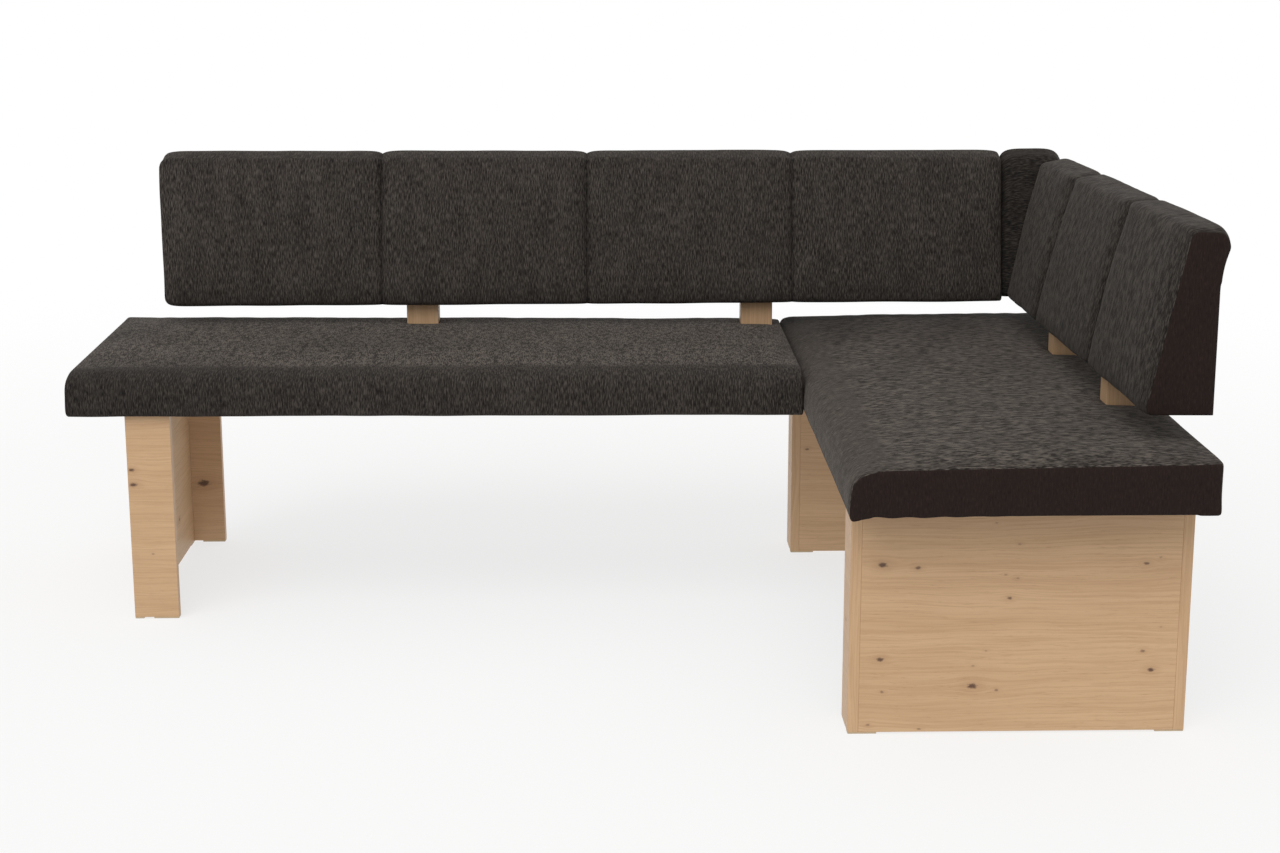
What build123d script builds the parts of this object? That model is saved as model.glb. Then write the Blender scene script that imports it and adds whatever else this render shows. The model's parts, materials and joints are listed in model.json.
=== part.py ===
from build123d import *
from math import exp
import os

# Corner bench: two upholstered seats in an L on three boxed board pedestals,
# with a padded backrest on each side, carried by wooden struts, and a corner pad.
# Millimetres. +X along the long side, +Y to the back, +Z up, floor at Z = 0,
# origin on the floor under the middle of the overall box.

# Seats
SEAT_DEPTH = 585.0            # sitting edge to rear edge, on both sides
LONG_SEAT_LENGTH = 1390.0
SHORT_SEAT_LENGTH = 1340.0    # from the rear edge of the corner to the free end
SEAT_GAP = 3.0                # open joint between the two seats
SEAT_THICKNESS = 88.0         # underside to the top at the rear edge
SEAT_FALL = 7.0               # how much lower the top is at the sitting edge
SEAT_NOSE_DEPTH = 66.0        # rounded sitting edge, measured along the top
SEAT_NOSE_DROP = 43.0         # and down the front
SEAT_NOSE_BEND = 18.7         # place along the top where the rounding tightens
SEAT_NOSE_BEND_DROP = 9.5
SEAT_NOSE_TOP_BULGE = 2.4
SEAT_NOSE_FRONT_BULGE = 6.0
LONG_SEAT_CROWN = 5.0
SHORT_SEAT_CROWN = 11.0
SEAT_END_DROP = 2.5           # top pulled down at the two end seams
SEAT_END_SPREAD = 22.0
SEAT_BOARD = 18.0
SEAT_REAR_ROUND = 5.0
LOWER_EDGE_WIDTH = 6.0        # rounded lower sitting edge
LOWER_EDGE_HEIGHT = 8.0
LOWER_EDGE_BULGE = 1.7
HEM = 35.0                    # cover turned under the seat board

# Cloth and fits
CLOTH = 2.0                   # cover, lining and end panels with their wadding
EASE = 0.2                    # between the cover and what it covers
HOLE_EASE = 0.1               # on the radius of dowels, screws and bolts
SLOT_EASE = 1.0               # around a strut where it passes through a cover

# Pedestals
PEDESTAL_HEIGHT = 400.0
PEDESTAL_DEPTH = 85.0         # width of the side planks
PEDESTAL_BOARD = 18.0
PEDESTAL_FRONT_INSET = 18.0   # from the sitting edge
PEDESTAL_REAR_INSET = 7.0     # from the rear edge
LEFT_PEDESTAL_INSET = 104.0   # from the free end of the long seat
END_PEDESTAL_INSET = 121.0    # from the free end of the short seat
CORNER_PEDESTAL_INSET = 54.0  # from the rear edge of the corner
GLIDE_LENGTH = 48.0
GLIDE_WIDTH = 17.0
GLIDE_THICKNESS = 3.0
GLIDE_INSET = 0.5
GLIDE_CHAMFER = 0.8
DOWEL_RADIUS = 4.0
DOWEL_LENGTH = 30.0
DOWEL_IN_PLANK = 11.0
DOWEL_HEIGHTS = (60.0, 200.0, 340.0)

# Struts between seat and backrest
STRUT_LONG_FACE = 66.0        # along the long seat, and across the short one
STRUT_SHORT_FACE = 50.0       # across the long seat, and along the short one
STRUT_REAR_INSET = 23.0       # from the rear edge of the seat
STRUT_IN_BACK = 80.0          # length held inside the backrest
LONG_LEFT_STRUT = 633.0       # strut centre from the free end of the long seat
LONG_RIGHT_STRUT = 52.0       # strut centre from the inner end of the long seat
SHORT_REAR_STRUT = 437.0      # strut centre from the rear edge of the corner
SHORT_FRONT_STRUT = 449.0     # strut centre from the free end of the short seat

# Backrests
BACK_CLEARANCE = 50.0         # open gap over the seat
BACK_HEIGHT = 303.0
BACK_BOARD = 25.0
BACK_FOOT = 112.0             # thickness at the bottom
BACK_HEAD = 55.0              # thickness at the top
BACK_TOP_FALL = 9.0           # top is lower at its front edge
BACK_CROWN = 5.0
TOP_ROUND = 14.0
TOP_ROUND_BULGE = 4.0
FOOT_ROUND = 10.0
FOOT_ROUND_BULGE = 3.0
LIP_OUT = 15.0                # rolled lip behind the top edge
LIP_HEIGHT = 90.0
LIP_CREST = 27.0              # fullest place of the lip below the top
LIP_ROUND = 14.0
LIP_BULGE = 3.7
LIP_SWEEP = 2.0
LIP_COVERS_BOARD = 14.0
LONG_BACK_INSET = 91.0        # from the free end of the long seat
SHORT_BACK_INSET = 104.0      # from the free end of the short seat
LONG_FIRST_PAD = 460.0        # outer pad of the long backrest
LONG_NEXT_PAD = 430.0         # its two middle pads
LONG_SEAMS = 3
SHORT_FIRST_PAD = 406.0       # outer pad of the short backrest
SHORT_NEXT_PAD = 444.0
SHORT_SEAMS = 2
SEAM_DEPTH = 9.0
SEAM_NOTCH = 6.0              # dip of the top edge at a seam
SEAM_SPREAD = 11.0
BACK_END_PULL = 6.0
BACK_END_DROP = 4.0           # dip of the top edge at an end
BACK_END_SPREAD = 13.0
CORNER_WIDTH = 127.0
CORNER_RECESS = 20.0          # corner pad stands back from the long backrest
CORNER_LIFT = 3.0             # and is a little taller
CORNER_SHOULDER = 17.0
CORNER_SHOULDER_SPREAD = 10.0
CORNER_EDGE_PULL = 5.0
BACK_GAP = 4.0                # open joint between neighbouring backrests

# Metal fittings
SCREW_RADIUS = 2.0
SCREW_LENGTH = 15.0
SCREW_TIP = 3.0
SCREW_HEAD_RADIUS = 3.9
SCREW_HEAD_HEIGHT = 2.4
BRACKET_LEG = 40.0
BRACKET_WIDTH = 30.0
BRACKET_THICKNESS = 2.5
BRACKET_SCREW_NEAR = 14.0     # from the bend, staggered to either side
BRACKET_SCREW_FAR = 31.0
BRACKET_SCREW_STAGGER = 7.0
BRACKET_FROM_PLANK = 120.0    # web brackets, from the plank's inner face
BRACKET_FROM_EDGE = 25.0      # plank brackets, from the plank's open edge
SEAT_PLATE_LENGTH = 160.0
SEAT_PLATE_WIDTH = 40.0
SEAT_PLATE_THICKNESS = 3.0
SEAT_PLATE_PLACES = (80.0, 230.0, 380.0)   # from the long seat's sitting edge
SEAT_PLATE_SCREWS = (-62.0, -27.0, 27.0, 62.0)
BACK_PLATE_LENGTH = 130.0
BACK_PLATE_WIDTH = 40.0
BACK_PLATE_THICKNESS = 3.0
LOW_PLATE_HEIGHT = 60.0                    # above the backrest's underside
HIGH_PLATE_BELOW_LIP = 56.0
BACK_PLATE_SCREWS = (-50.0, -30.0, 30.0, 50.0)
CORNER_PLATE_SCREW = 13.0                  # from the rear end of the side plates
CORNER_PLATE_STEP = 10.0
CORNER_PLATE_FAR = (101.0, 117.0)
BOLT_RADIUS = 4.0
BOLT_HEAD_RADIUS = 8.0
BOLT_HEAD_HEIGHT = 4.5
BOLT_IN_STRUT = 40.0
BOLT_SPREAD = 18.0            # seat bolts, each side of the strut's middle
BOLT_HEIGHTS = (20.0, 60.0)   # back bolts, above the backrest's underside

# Worked out from the sizes above
SEAT_BOTTOM = GLIDE_THICKNESS + PEDESTAL_HEIGHT
SEAT_TOP = SEAT_BOTTOM + SEAT_THICKNESS
BOARD_BOTTOM = SEAT_BOTTOM + CLOTH
BOARD_TOP = BOARD_BOTTOM + SEAT_BOARD
SHORT_FREE_END = SHORT_SEAT_LENGTH - SEAT_DEPTH
LONG_FREE_END = LONG_SEAT_LENGTH + SEAT_GAP
PEDESTAL_WIDTH = SEAT_DEPTH - PEDESTAL_FRONT_INSET - PEDESTAL_REAR_INSET
STRUT_REAR = SEAT_DEPTH - STRUT_REAR_INSET
BACK_BOARD_REAR = STRUT_REAR + BACK_BOARD
BACK_REAR = BACK_BOARD_REAR + CLOTH
BACK_BOTTOM = SEAT_TOP + BACK_CLEARANCE
BACK_TOP = BACK_BOTTOM + BACK_HEIGHT
LIP_BOTTOM = BACK_TOP - LIP_HEIGHT
BACK_BOARD_TOP = LIP_BOTTOM + LIP_COVERS_BOARD
BACK_LEAN = (BACK_FOOT - BACK_HEAD) / BACK_HEIGHT
STRUT_TOP = BACK_BOTTOM + STRUT_IN_BACK
OVERALL_BACK = BACK_REAR + LIP_OUT
CORNER_LEFT = BACK_REAR - CORNER_WIDTH
LONG_BACK_LEFT = LONG_BACK_INSET - LONG_FREE_END
LONG_BACK_RIGHT = CORNER_LEFT - BACK_GAP
SHORT_BACK_FRONT = SHORT_FREE_END - SHORT_BACK_INSET
SHORT_BACK_REAR = BACK_FOOT - BACK_REAR - CORNER_RECESS + BACK_GAP
BACK_PLATE_LEVELS = (BACK_BOTTOM + LOW_PLATE_HEIGHT, LIP_BOTTOM - HIGH_PLATE_BELOW_LIP)

# Each side is drawn along X with its sitting edge on Y = 0. The long side's
# inner corner is the datum, and the short side is the same drawing turned.
DATUM = Pos((LONG_FREE_END - OVERALL_BACK) / 2, (SHORT_FREE_END - OVERALL_BACK) / 2, 0)
LONG_SIDE = DATUM
SHORT_SIDE = DATUM * Rot(0, 0, -90)

# Struts of each side: (middle along the side, width along it, depth across it)
LONG_STRUTS = (
    (LONG_LEFT_STRUT - LONG_FREE_END, STRUT_LONG_FACE, STRUT_SHORT_FACE),
    (-SEAT_GAP - LONG_RIGHT_STRUT, STRUT_LONG_FACE, STRUT_SHORT_FACE),
)
SHORT_STRUTS = (
    (SHORT_REAR_STRUT - SEAT_DEPTH, STRUT_SHORT_FACE, STRUT_LONG_FACE),
    (SHORT_FREE_END - SHORT_FRONT_STRUT, STRUT_SHORT_FACE, STRUT_LONG_FACE),
)

os.makedirs("parts", exist_ok=True)


def save(name, *solids):
    """Write one node: a single solid, or a group of separate ones."""
    shape = solids[0] if len(solids) == 1 else Compound(children=list(solids))
    export_step(shape, f"parts/{name}.step")


def block(low, high):
    """Box between two corners."""
    size = [b - a for a, b in zip(low, high)]
    return Pos(*low) * Box(*size, align=(Align.MIN, Align.MIN, Align.MIN))


def backwards(chain):
    """The same outline walked the other way, with its bulges turned round."""
    bulges = [-bulge for _, _, bulge in chain[:-1]]
    points = [(y, z) for y, z, _ in chain]
    return [(*p, b) for p, b in zip(points[::-1], bulges[::-1] + [0.0])]


def outline(chain, x, lean=0.0):
    """Closed face across a side at x. Each point is (y, z, bulge of the edge it starts)."""

    def place(y, z):
        return (x + lean * (z - BACK_BOTTOM), y, z)

    edges = []
    for (y0, z0, bulge), (y1, z1, _) in zip(chain, chain[1:] + chain[:1]):
        if bulge:
            run = ((y1 - y0) ** 2 + (z1 - z0) ** 2) ** 0.5
            middle_y = (y0 + y1) / 2 + bulge * (z1 - z0) / run
            middle_z = (z0 + z1) / 2 - bulge * (y1 - y0) / run
            edges.append(ThreePointArc(place(y0, z0), place(middle_y, middle_z), place(y1, z1)))
        else:
            edges.append(Line(place(y0, z0), place(y1, z1)))
    return Face(Wire(edges))


def stations(start, end, near):
    """Places along a pad, closer together next to its two ends."""
    middle = (start + end) / 2
    first = [start + step for step in near if start + step < middle]
    last = [end - step for step in near if end - step > middle]
    return first + [middle] + last[::-1]


# Seats

SEAT_STEPS = (0.0, 6.0, 18.0, 45.0, 110.0)


def seat_chain(inset, drop, crown):
    """Seat outline without its underside, from the rear foot over the top to the front foot."""
    rear = SEAT_DEPTH - inset
    top = SEAT_TOP - inset - drop
    nose_top = top - SEAT_FALL
    nose_low = SEAT_TOP - SEAT_FALL - SEAT_NOSE_DROP
    low = SEAT_BOTTOM + inset
    return [
        (rear, low, 0.0),
        (rear, top - SEAT_REAR_ROUND, SEAT_REAR_ROUND / 4),
        (rear - SEAT_REAR_ROUND, top, crown),
        (SEAT_NOSE_DEPTH, nose_top, SEAT_NOSE_TOP_BULGE),
        (SEAT_NOSE_BEND + inset / 2, nose_top - SEAT_NOSE_BEND_DROP, SEAT_NOSE_FRONT_BULGE),
        (inset, nose_low, 0.0),
        (inset, low + LOWER_EDGE_HEIGHT, LOWER_EDGE_BULGE),
        (inset + LOWER_EDGE_WIDTH, low, 0.0),
    ]


def seat_cover_face(x, drop, crown):
    """Section of the cover: a band with its two hems under the board."""
    outer = seat_chain(0.0, drop, crown)
    inner = seat_chain(CLOTH, drop, crown)
    rear_hem = SEAT_DEPTH - HEM
    band = [(rear_hem, SEAT_BOTTOM, 0.0), *outer, (HEM, SEAT_BOTTOM, 0.0)]
    back = backwards([(rear_hem, BOARD_BOTTOM, 0.0), *inner, (HEM, BOARD_BOTTOM, 0.0)])
    return outline(band + back, x)


def seat_foam_face(x, drop, crown):
    """Section of the foam block on top of the board."""
    chain = seat_chain(CLOTH + EASE, drop, crown)
    rear, front = chain[0][0], chain[5][0]
    return outline([(rear, BOARD_TOP, 0.0), *chain[1:6], (front, BOARD_TOP, 0.0)], x)


def seat_board_face(x):
    """Section of the seat board, with the lower sitting edge rounded over."""
    chain = seat_chain(CLOTH + EASE, 0.0, 0.0)
    rear, front = chain[0][0], chain[5][0]
    low_front, low_edge = chain[6], chain[7]
    rise = BOARD_BOTTOM - low_edge[1]
    return outline(
        [
            (rear, BOARD_BOTTOM, 0.0),
            (rear, BOARD_TOP, 0.0),
            (front, BOARD_TOP, 0.0),
            (front, low_front[1] + rise, LOWER_EDGE_BULGE),
            (low_edge[0], BOARD_BOTTOM, 0.0),
        ],
        x,
    )


def seat_loft(face_at, start, end, crown):
    """Loft a seat section along its side, flatter and pulled down at both ends."""
    places = stations(start, end, SEAT_STEPS)
    near = [exp(-min(x - start, end - x) / SEAT_END_SPREAD) for x in places]
    faces = [face_at(x, SEAT_END_DROP * n, crown * (1 - n)) for x, n in zip(places, near)]
    return loft(faces, ruled=True)


def strut_box(place, low, high, ease):
    """Space of a strut between two heights."""
    middle, width, depth = place
    return block(
        (middle - width / 2 - ease, STRUT_REAR - depth - ease, low),
        (middle + width / 2 + ease, STRUT_REAR + ease, high),
    )


def build_seat(start, end, crown, strut_places, drilled):
    """Board, foam, cover, underlining and two end panels of one seat, drilled from below."""
    inner_start, inner_end = start + CLOTH, end - CLOTH
    board = extrude(seat_board_face(inner_start + EASE), inner_end - inner_start - 2 * EASE, (1, 0, 0))
    foam = seat_loft(seat_foam_face, inner_start + EASE, inner_end - EASE, crown)
    cover = seat_loft(seat_cover_face, inner_start, inner_end, crown)
    lining = block(
        (inner_start, HEM + EASE, SEAT_BOTTOM),
        (inner_end, SEAT_DEPTH - HEM - EASE, BOARD_BOTTOM),
    )
    panel = outline(seat_chain(0.0, SEAT_END_DROP, 0.0), start)
    first_panel = extrude(panel, CLOTH, (1, 0, 0))
    last_panel = Pos(end - CLOTH - start, 0, 0) * first_panel
    highest = SEAT_TOP + crown
    for place in strut_places:
        foam -= strut_box(place, BOARD_TOP, highest, EASE)
        cover -= strut_box(place, BOARD_TOP, highest, SLOT_EASE)
        for bolt in seat_bolt_places(place):
            board -= bolt * bolt_body(SEAT_BOARD, HOLE_EASE)
    for hole in drilled:
        board -= hole
        cover -= hole
        lining -= hole
    return board, foam, cover, lining, first_panel, last_panel


# Backrests

BACK_STEPS = (0.0, 5.0, 14.0, 36.0)


def back_chain(inset, pull, drop, crown, recess=0.0, lift=0.0):
    """Backrest outline from under the rear lip, over the top and down the front to the rear foot."""
    rear = BACK_REAR - inset
    lip = rear + LIP_OUT - pull / 2
    top = BACK_TOP + lift - inset - drop
    front_top = top - BACK_TOP_FALL
    low = BACK_BOTTOM + inset
    head = BACK_REAR - BACK_HEAD + recess + inset + pull
    foot = BACK_REAR - BACK_FOOT + recess + inset + pull
    return [
        (rear, LIP_BOTTOM, -LIP_SWEEP),
        (lip, top - LIP_CREST, LIP_BULGE),
        (lip - LIP_ROUND, top, 0.0),
        (head + TOP_ROUND, front_top, TOP_ROUND_BULGE),
        (head, front_top - TOP_ROUND, crown),
        (foot, low + FOOT_ROUND, FOOT_ROUND_BULGE),
        (foot + FOOT_ROUND, low, 0.0),
        (rear, low, 0.0),
    ]


def back_cover_face(x, lean, **shape):
    """Section of the cover: a band from the lip round the front to the rear foot."""
    outer = back_chain(0.0, **shape)
    inner = back_chain(CLOTH, **shape)
    inner[-1] = (BACK_BOARD_REAR, BACK_BOTTOM + CLOTH, 0.0)
    outer[-1] = (BACK_BOARD_REAR, BACK_BOTTOM, 0.0)
    return outline(outer + backwards(inner), x, lean)


def back_foam_face(x, lean, **shape):
    """Section of the foam: in front of the board, over its top and in the rear lip."""
    chain = back_chain(CLOTH + EASE, **shape)
    foot = chain[6][1]
    round_board = [
        (STRUT_REAR, foot, 0.0),
        (STRUT_REAR, BACK_BOARD_TOP, 0.0),
        (BACK_BOARD_REAR, BACK_BOARD_TOP, 0.0),
    ]
    low_lip = (BACK_BOARD_REAR, chain[0][1], chain[0][2])
    return outline([low_lip, *chain[1:7], *round_board], x, lean)


def slab(start, end, lean, rear, thickness, low, high):
    """Upright board between two places along a side, with its first end leaning."""
    corners = [
        (start + lean * (low - BACK_BOTTOM), rear, low),
        (end, rear, low),
        (end, rear, high),
        (start + lean * (high - BACK_BOTTOM), rear, high),
    ]
    return extrude(Face(Wire.make_polygon(corners)), thickness, (0, -1, 0))


def pulls_long(edges):
    """Shape of a backrest in pads at x: drawn in at each seam, and less at the two ends."""

    def shape(x):
        end = min(x - edges[0], edges[-1] - x)
        seam = min(abs(x - edge) for edge in edges[1:-1])
        at_end = exp(-end / BACK_END_SPREAD)
        at_seam = exp(-seam / SEAM_SPREAD)
        return {
            "pull": BACK_END_PULL * at_end + SEAM_DEPTH * at_seam,
            "drop": BACK_END_DROP * at_end + SEAM_NOTCH * at_seam,
            "crown": BACK_CROWN * (1 - max(at_end, at_seam)),
        }

    return shape


def pulls_corner(start, end):
    """Shape of the corner pad at x: rounded shoulders and slightly rounded upright edges."""

    def shape(x):
        near = exp(-min(x - start, end - x) / CORNER_SHOULDER_SPREAD)
        return {
            "pull": CORNER_EDGE_PULL * near,
            "drop": CORNER_SHOULDER * near,
            "crown": 0.0,
            "recess": CORNER_RECESS,
            "lift": CORNER_LIFT,
        }

    return shape


def build_back(edges, shape_at, strut_places, lean=0.0):
    """Board, foam, cover, back lining and two end panels of one backrest."""
    start, end = edges[0], edges[-1]
    inner_start, inner_end = start + CLOTH, end - CLOTH
    places = []
    for first, last in zip([inner_start, *edges[1:-1]], [*edges[1:-1], inner_end]):
        run = stations(first, last, BACK_STEPS)
        places += run[1:] if places else run
    first_pad = edges[1] - inner_start
    leans = [lean * max(0.0, edges[1] - x) / first_pad for x in places]
    shapes = [shape_at(x) for x in places]
    cover = loft([back_cover_face(x, l, **s) for x, l, s in zip(places, leans, shapes)], ruled=True)
    foam = loft([back_foam_face(x, l, **s) for x, l, s in zip(places, leans, shapes)], ruled=True)
    low = BACK_BOTTOM + CLOTH + EASE
    board = slab(inner_start, inner_end, lean, BACK_BOARD_REAR, BACK_BOARD, low, BACK_BOARD_TOP)
    lining = slab(inner_start, inner_end, lean, BACK_REAR, CLOTH, BACK_BOTTOM, LIP_BOTTOM)
    first_panel = extrude(outline(back_chain(0.0, **shapes[0]), start, lean), CLOTH, (1, 0, 0))
    last_panel = extrude(outline(back_chain(0.0, **shapes[-1]), end, 0.0), CLOTH, (-1, 0, 0))
    for place in strut_places:
        foam -= strut_box(place, BACK_BOTTOM, STRUT_TOP + EASE, EASE)
        cover -= strut_box(place, BACK_BOTTOM, low, SLOT_EASE)
        for bolt in back_bolt_places(place):
            board -= bolt * bolt_body(BACK_BOARD, HOLE_EASE)
    return board, foam, cover, lining, first_panel, last_panel


# Metal fittings. Each is drawn with its bearing face on Z = 0 and its shank pointing down.


def screw_body(ease=0.0):
    """Pan-head wood screw, or with ease the hole for its shank."""
    straight = SCREW_LENGTH - SCREW_TIP
    radius = SCREW_RADIUS + ease
    down = (Align.CENTER, Align.CENTER, Align.MAX)
    shank = Cylinder(radius, straight, align=down)
    tip = Pos(0, 0, -straight) * Cone(SCREW_RADIUS / 4 + ease, radius, SCREW_TIP, align=down)
    if ease:
        return shank + tip
    up = (Align.CENTER, Align.CENTER, Align.MIN)
    return shank + tip + Cylinder(SCREW_HEAD_RADIUS, SCREW_HEAD_HEIGHT, align=up)


def bolt_body(board, ease=0.0):
    """Countersunk bolt through a board into a strut, its head flush with Z = 0."""
    down = (Align.CENTER, Align.CENTER, Align.MAX)
    length = board + BOLT_IN_STRUT
    head = Cone(BOLT_RADIUS + ease, BOLT_HEAD_RADIUS + ease, BOLT_HEAD_HEIGHT, align=down)
    return head + Cylinder(BOLT_RADIUS + ease, length, align=down)


def seat_bolt_places(place):
    """Bolts up through the seat board into a strut, in line with the side."""
    middle, _, depth = place
    return [
        Pos(middle + side * BOLT_SPREAD, STRUT_REAR - depth / 2, BOARD_BOTTOM) * Rot(180, 0, 0)
        for side in (-1, 1)
    ]


def back_bolt_places(place):
    """Bolts through the backrest board, from behind, into a strut."""
    middle, _, _ = place
    return [
        Pos(middle, BACK_BOARD_REAR, BACK_BOTTOM + height) * Rot(-90, 0, 0)
        for height in BOLT_HEIGHTS
    ]


def strut(place):
    """Strut standing on the seat board and reaching into the backrest."""
    body = strut_box(place, BOARD_TOP, STRUT_TOP, 0.0)
    for bolt in seat_bolt_places(place):
        body -= bolt * bolt_body(SEAT_BOARD, HOLE_EASE)
    for bolt in back_bolt_places(place):
        body -= bolt * bolt_body(BACK_BOARD, HOLE_EASE)
    return body


def bracket():
    """Steel angle: one leg down a board at Y = 0, the other under the seat at Z = 0."""
    half = BRACKET_WIDTH / 2
    body = block((-half, 0, -BRACKET_LEG), (half, BRACKET_THICKNESS, 0))
    body += block((-half, 0, -BRACKET_THICKNESS), (half, BRACKET_LEG, 0))
    for place in bracket_screws():
        body -= place * screw_body(HOLE_EASE)
    return body


def bracket_screws():
    """Two screws through each leg of an angle."""
    spots = ((-BRACKET_SCREW_STAGGER, BRACKET_SCREW_NEAR), (BRACKET_SCREW_STAGGER, BRACKET_SCREW_FAR))
    into_board = [Pos(x, BRACKET_THICKNESS, -along) * Rot(-90, 0, 0) for x, along in spots]
    into_seat = [Pos(-x, along, -BRACKET_THICKNESS) * Rot(180, 0, 0) for x, along in spots]
    return into_board + into_seat


def plate(length, width, thickness, places):
    """Flat joining plate on Z = 0, drilled for screws."""
    half_length, half_width = length / 2, width / 2
    body = block((-half_length, -half_width, 0), (half_length, half_width, thickness))
    for x, y in places:
        body -= Pos(x, y, thickness) * screw_body(HOLE_EASE)
    return body


# Pedestals, drawn with the web's outer face on Y = 0 and the planks reaching to +Y


def bracket_places():
    """Angles of one pedestal: two on the web, one on each plank."""
    left, right = PEDESTAL_BOARD, PEDESTAL_WIDTH - PEDESTAL_BOARD
    along = PEDESTAL_DEPTH - BRACKET_FROM_EDGE
    return [
        Pos(left + BRACKET_FROM_PLANK, PEDESTAL_BOARD, SEAT_BOTTOM),
        Pos(right - BRACKET_FROM_PLANK, PEDESTAL_BOARD, SEAT_BOTTOM),
        Pos(left, along, SEAT_BOTTOM) * Rot(0, 0, -90),
        Pos(right, along, SEAT_BOTTOM) * Rot(0, 0, 90),
    ]


def dowel_places():
    """Dowels across the two joints between web and planks, their inner ends on Z = 0."""
    reach = DOWEL_LENGTH - DOWEL_IN_PLANK
    left = PEDESTAL_BOARD + reach
    right = PEDESTAL_WIDTH - PEDESTAL_BOARD - reach
    middle = PEDESTAL_BOARD / 2
    places = []
    for height in DOWEL_HEIGHTS:
        places.append(Pos(left, middle, GLIDE_THICKNESS + height) * Rot(0, -90, 0))
        places.append(Pos(right, middle, GLIDE_THICKNESS + height) * Rot(0, 90, 0))
    return places


def dowel(ease=0.0):
    """Wooden dowel, or with ease the bore for it."""
    base = (Align.CENTER, Align.CENTER, Align.MIN)
    return Pos(0, 0, -ease) * Cylinder(DOWEL_RADIUS + ease, DOWEL_LENGTH + 2 * ease, align=base)


def glides():
    """Four flat glides: two along the web, two along the planks' open ends."""
    far = PEDESTAL_WIDTH - GLIDE_INSET
    deep = PEDESTAL_DEPTH - GLIDE_INSET
    corners = [
        (GLIDE_INSET, GLIDE_INSET, GLIDE_LENGTH, GLIDE_WIDTH),
        (far - GLIDE_LENGTH, GLIDE_INSET, GLIDE_LENGTH, GLIDE_WIDTH),
        (GLIDE_INSET, deep - GLIDE_LENGTH, GLIDE_WIDTH, GLIDE_LENGTH),
        (far - GLIDE_WIDTH, deep - GLIDE_LENGTH, GLIDE_WIDTH, GLIDE_LENGTH),
    ]
    shapes = []
    for x, y, width, length in corners:
        pad = block((x, y, 0), (x + width, y + length, GLIDE_THICKNESS))
        shapes.append(chamfer(pad.faces().sort_by(Axis.Z)[0].edges(), GLIDE_CHAMFER))
    return shapes


def build_pedestal():
    """Web and two planks of one pedestal, bored for dowels and drilled for screws."""
    low, high = GLIDE_THICKNESS, SEAT_BOTTOM
    inner = PEDESTAL_WIDTH - PEDESTAL_BOARD
    boards = [
        block((0, 0, low), (PEDESTAL_BOARD, PEDESTAL_DEPTH, high)),
        block((inner, 0, low), (PEDESTAL_WIDTH, PEDESTAL_DEPTH, high)),
        block((PEDESTAL_BOARD, 0, low), (inner, PEDESTAL_BOARD, high)),
    ]
    cutters = [place * dowel(HOLE_EASE) for place in dowel_places()]
    for place in bracket_places():
        cutters += [place * spot * screw_body(HOLE_EASE) for spot in bracket_screws()]
    drilled = []
    for board in boards:
        for cutter in cutters:
            board = board - cutter
        drilled.append(board)
    return drilled


# Placing the pedestals under the seats

LEFT_PEDESTAL = LONG_SIDE * Pos(
    LEFT_PEDESTAL_INSET - LONG_FREE_END, PEDESTAL_FRONT_INSET + PEDESTAL_WIDTH, 0
) * Rot(0, 0, -90)
END_PEDESTAL = DATUM * Pos(PEDESTAL_FRONT_INSET, END_PEDESTAL_INSET - SHORT_FREE_END, 0)
CORNER_PEDESTAL = DATUM * Pos(
    PEDESTAL_FRONT_INSET, SEAT_DEPTH - CORNER_PEDESTAL_INSET - PEDESTAL_DEPTH, 0
)
PEDESTALS = (LEFT_PEDESTAL, END_PEDESTAL, CORNER_PEDESTAL)
PLANK_NAMES = {
    "left_pedestal": ("rear_plank", "front_plank", "web"),
    "end_pedestal": ("left_plank", "right_plank", "web"),
    "corner_pedestal": ("left_plank", "right_plank", "web"),
}

pedestal_boards = build_pedestal()
for location, (pedestal, board_names) in zip(PEDESTALS, PLANK_NAMES.items()):
    for board_name, board in zip(board_names, pedestal_boards):
        save(f"{pedestal}_{board_name}", location * board)

save("pedestal_glides", *[spot * pad for spot in PEDESTALS for pad in glides()])
save("pedestal_dowels", *[spot * place * dowel() for spot in PEDESTALS for place in dowel_places()])
angle_places = [spot * place for spot in PEDESTALS for place in bracket_places()]
angle_screw_places = [angle * spot for angle in angle_places for spot in bracket_screws()]
save("pedestal_angle_brackets", *[place * bracket() for place in angle_places])
save("bracket_screws", *[place * screw_body() for place in angle_screw_places])

# Plates that hang the long seat on the short one
seat_plate_spots = [(x, 0.0) for x in SEAT_PLATE_SCREWS]
seat_plate_places = [
    DATUM * Pos(-SEAT_GAP / 2, y, SEAT_BOTTOM) * Rot(180, 0, 0) for y in SEAT_PLATE_PLACES
]
seat_plate_screw_places = [
    place * Pos(x, y, SEAT_PLATE_THICKNESS) for place in seat_plate_places for x, y in seat_plate_spots
]
seat_plate = plate(SEAT_PLATE_LENGTH, SEAT_PLATE_WIDTH, SEAT_PLATE_THICKNESS, seat_plate_spots)
save("seat_joining_plates", *[place * seat_plate for place in seat_plate_places])
save("seat_plate_screws", *[place * screw_body() for place in seat_plate_screw_places])

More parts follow.
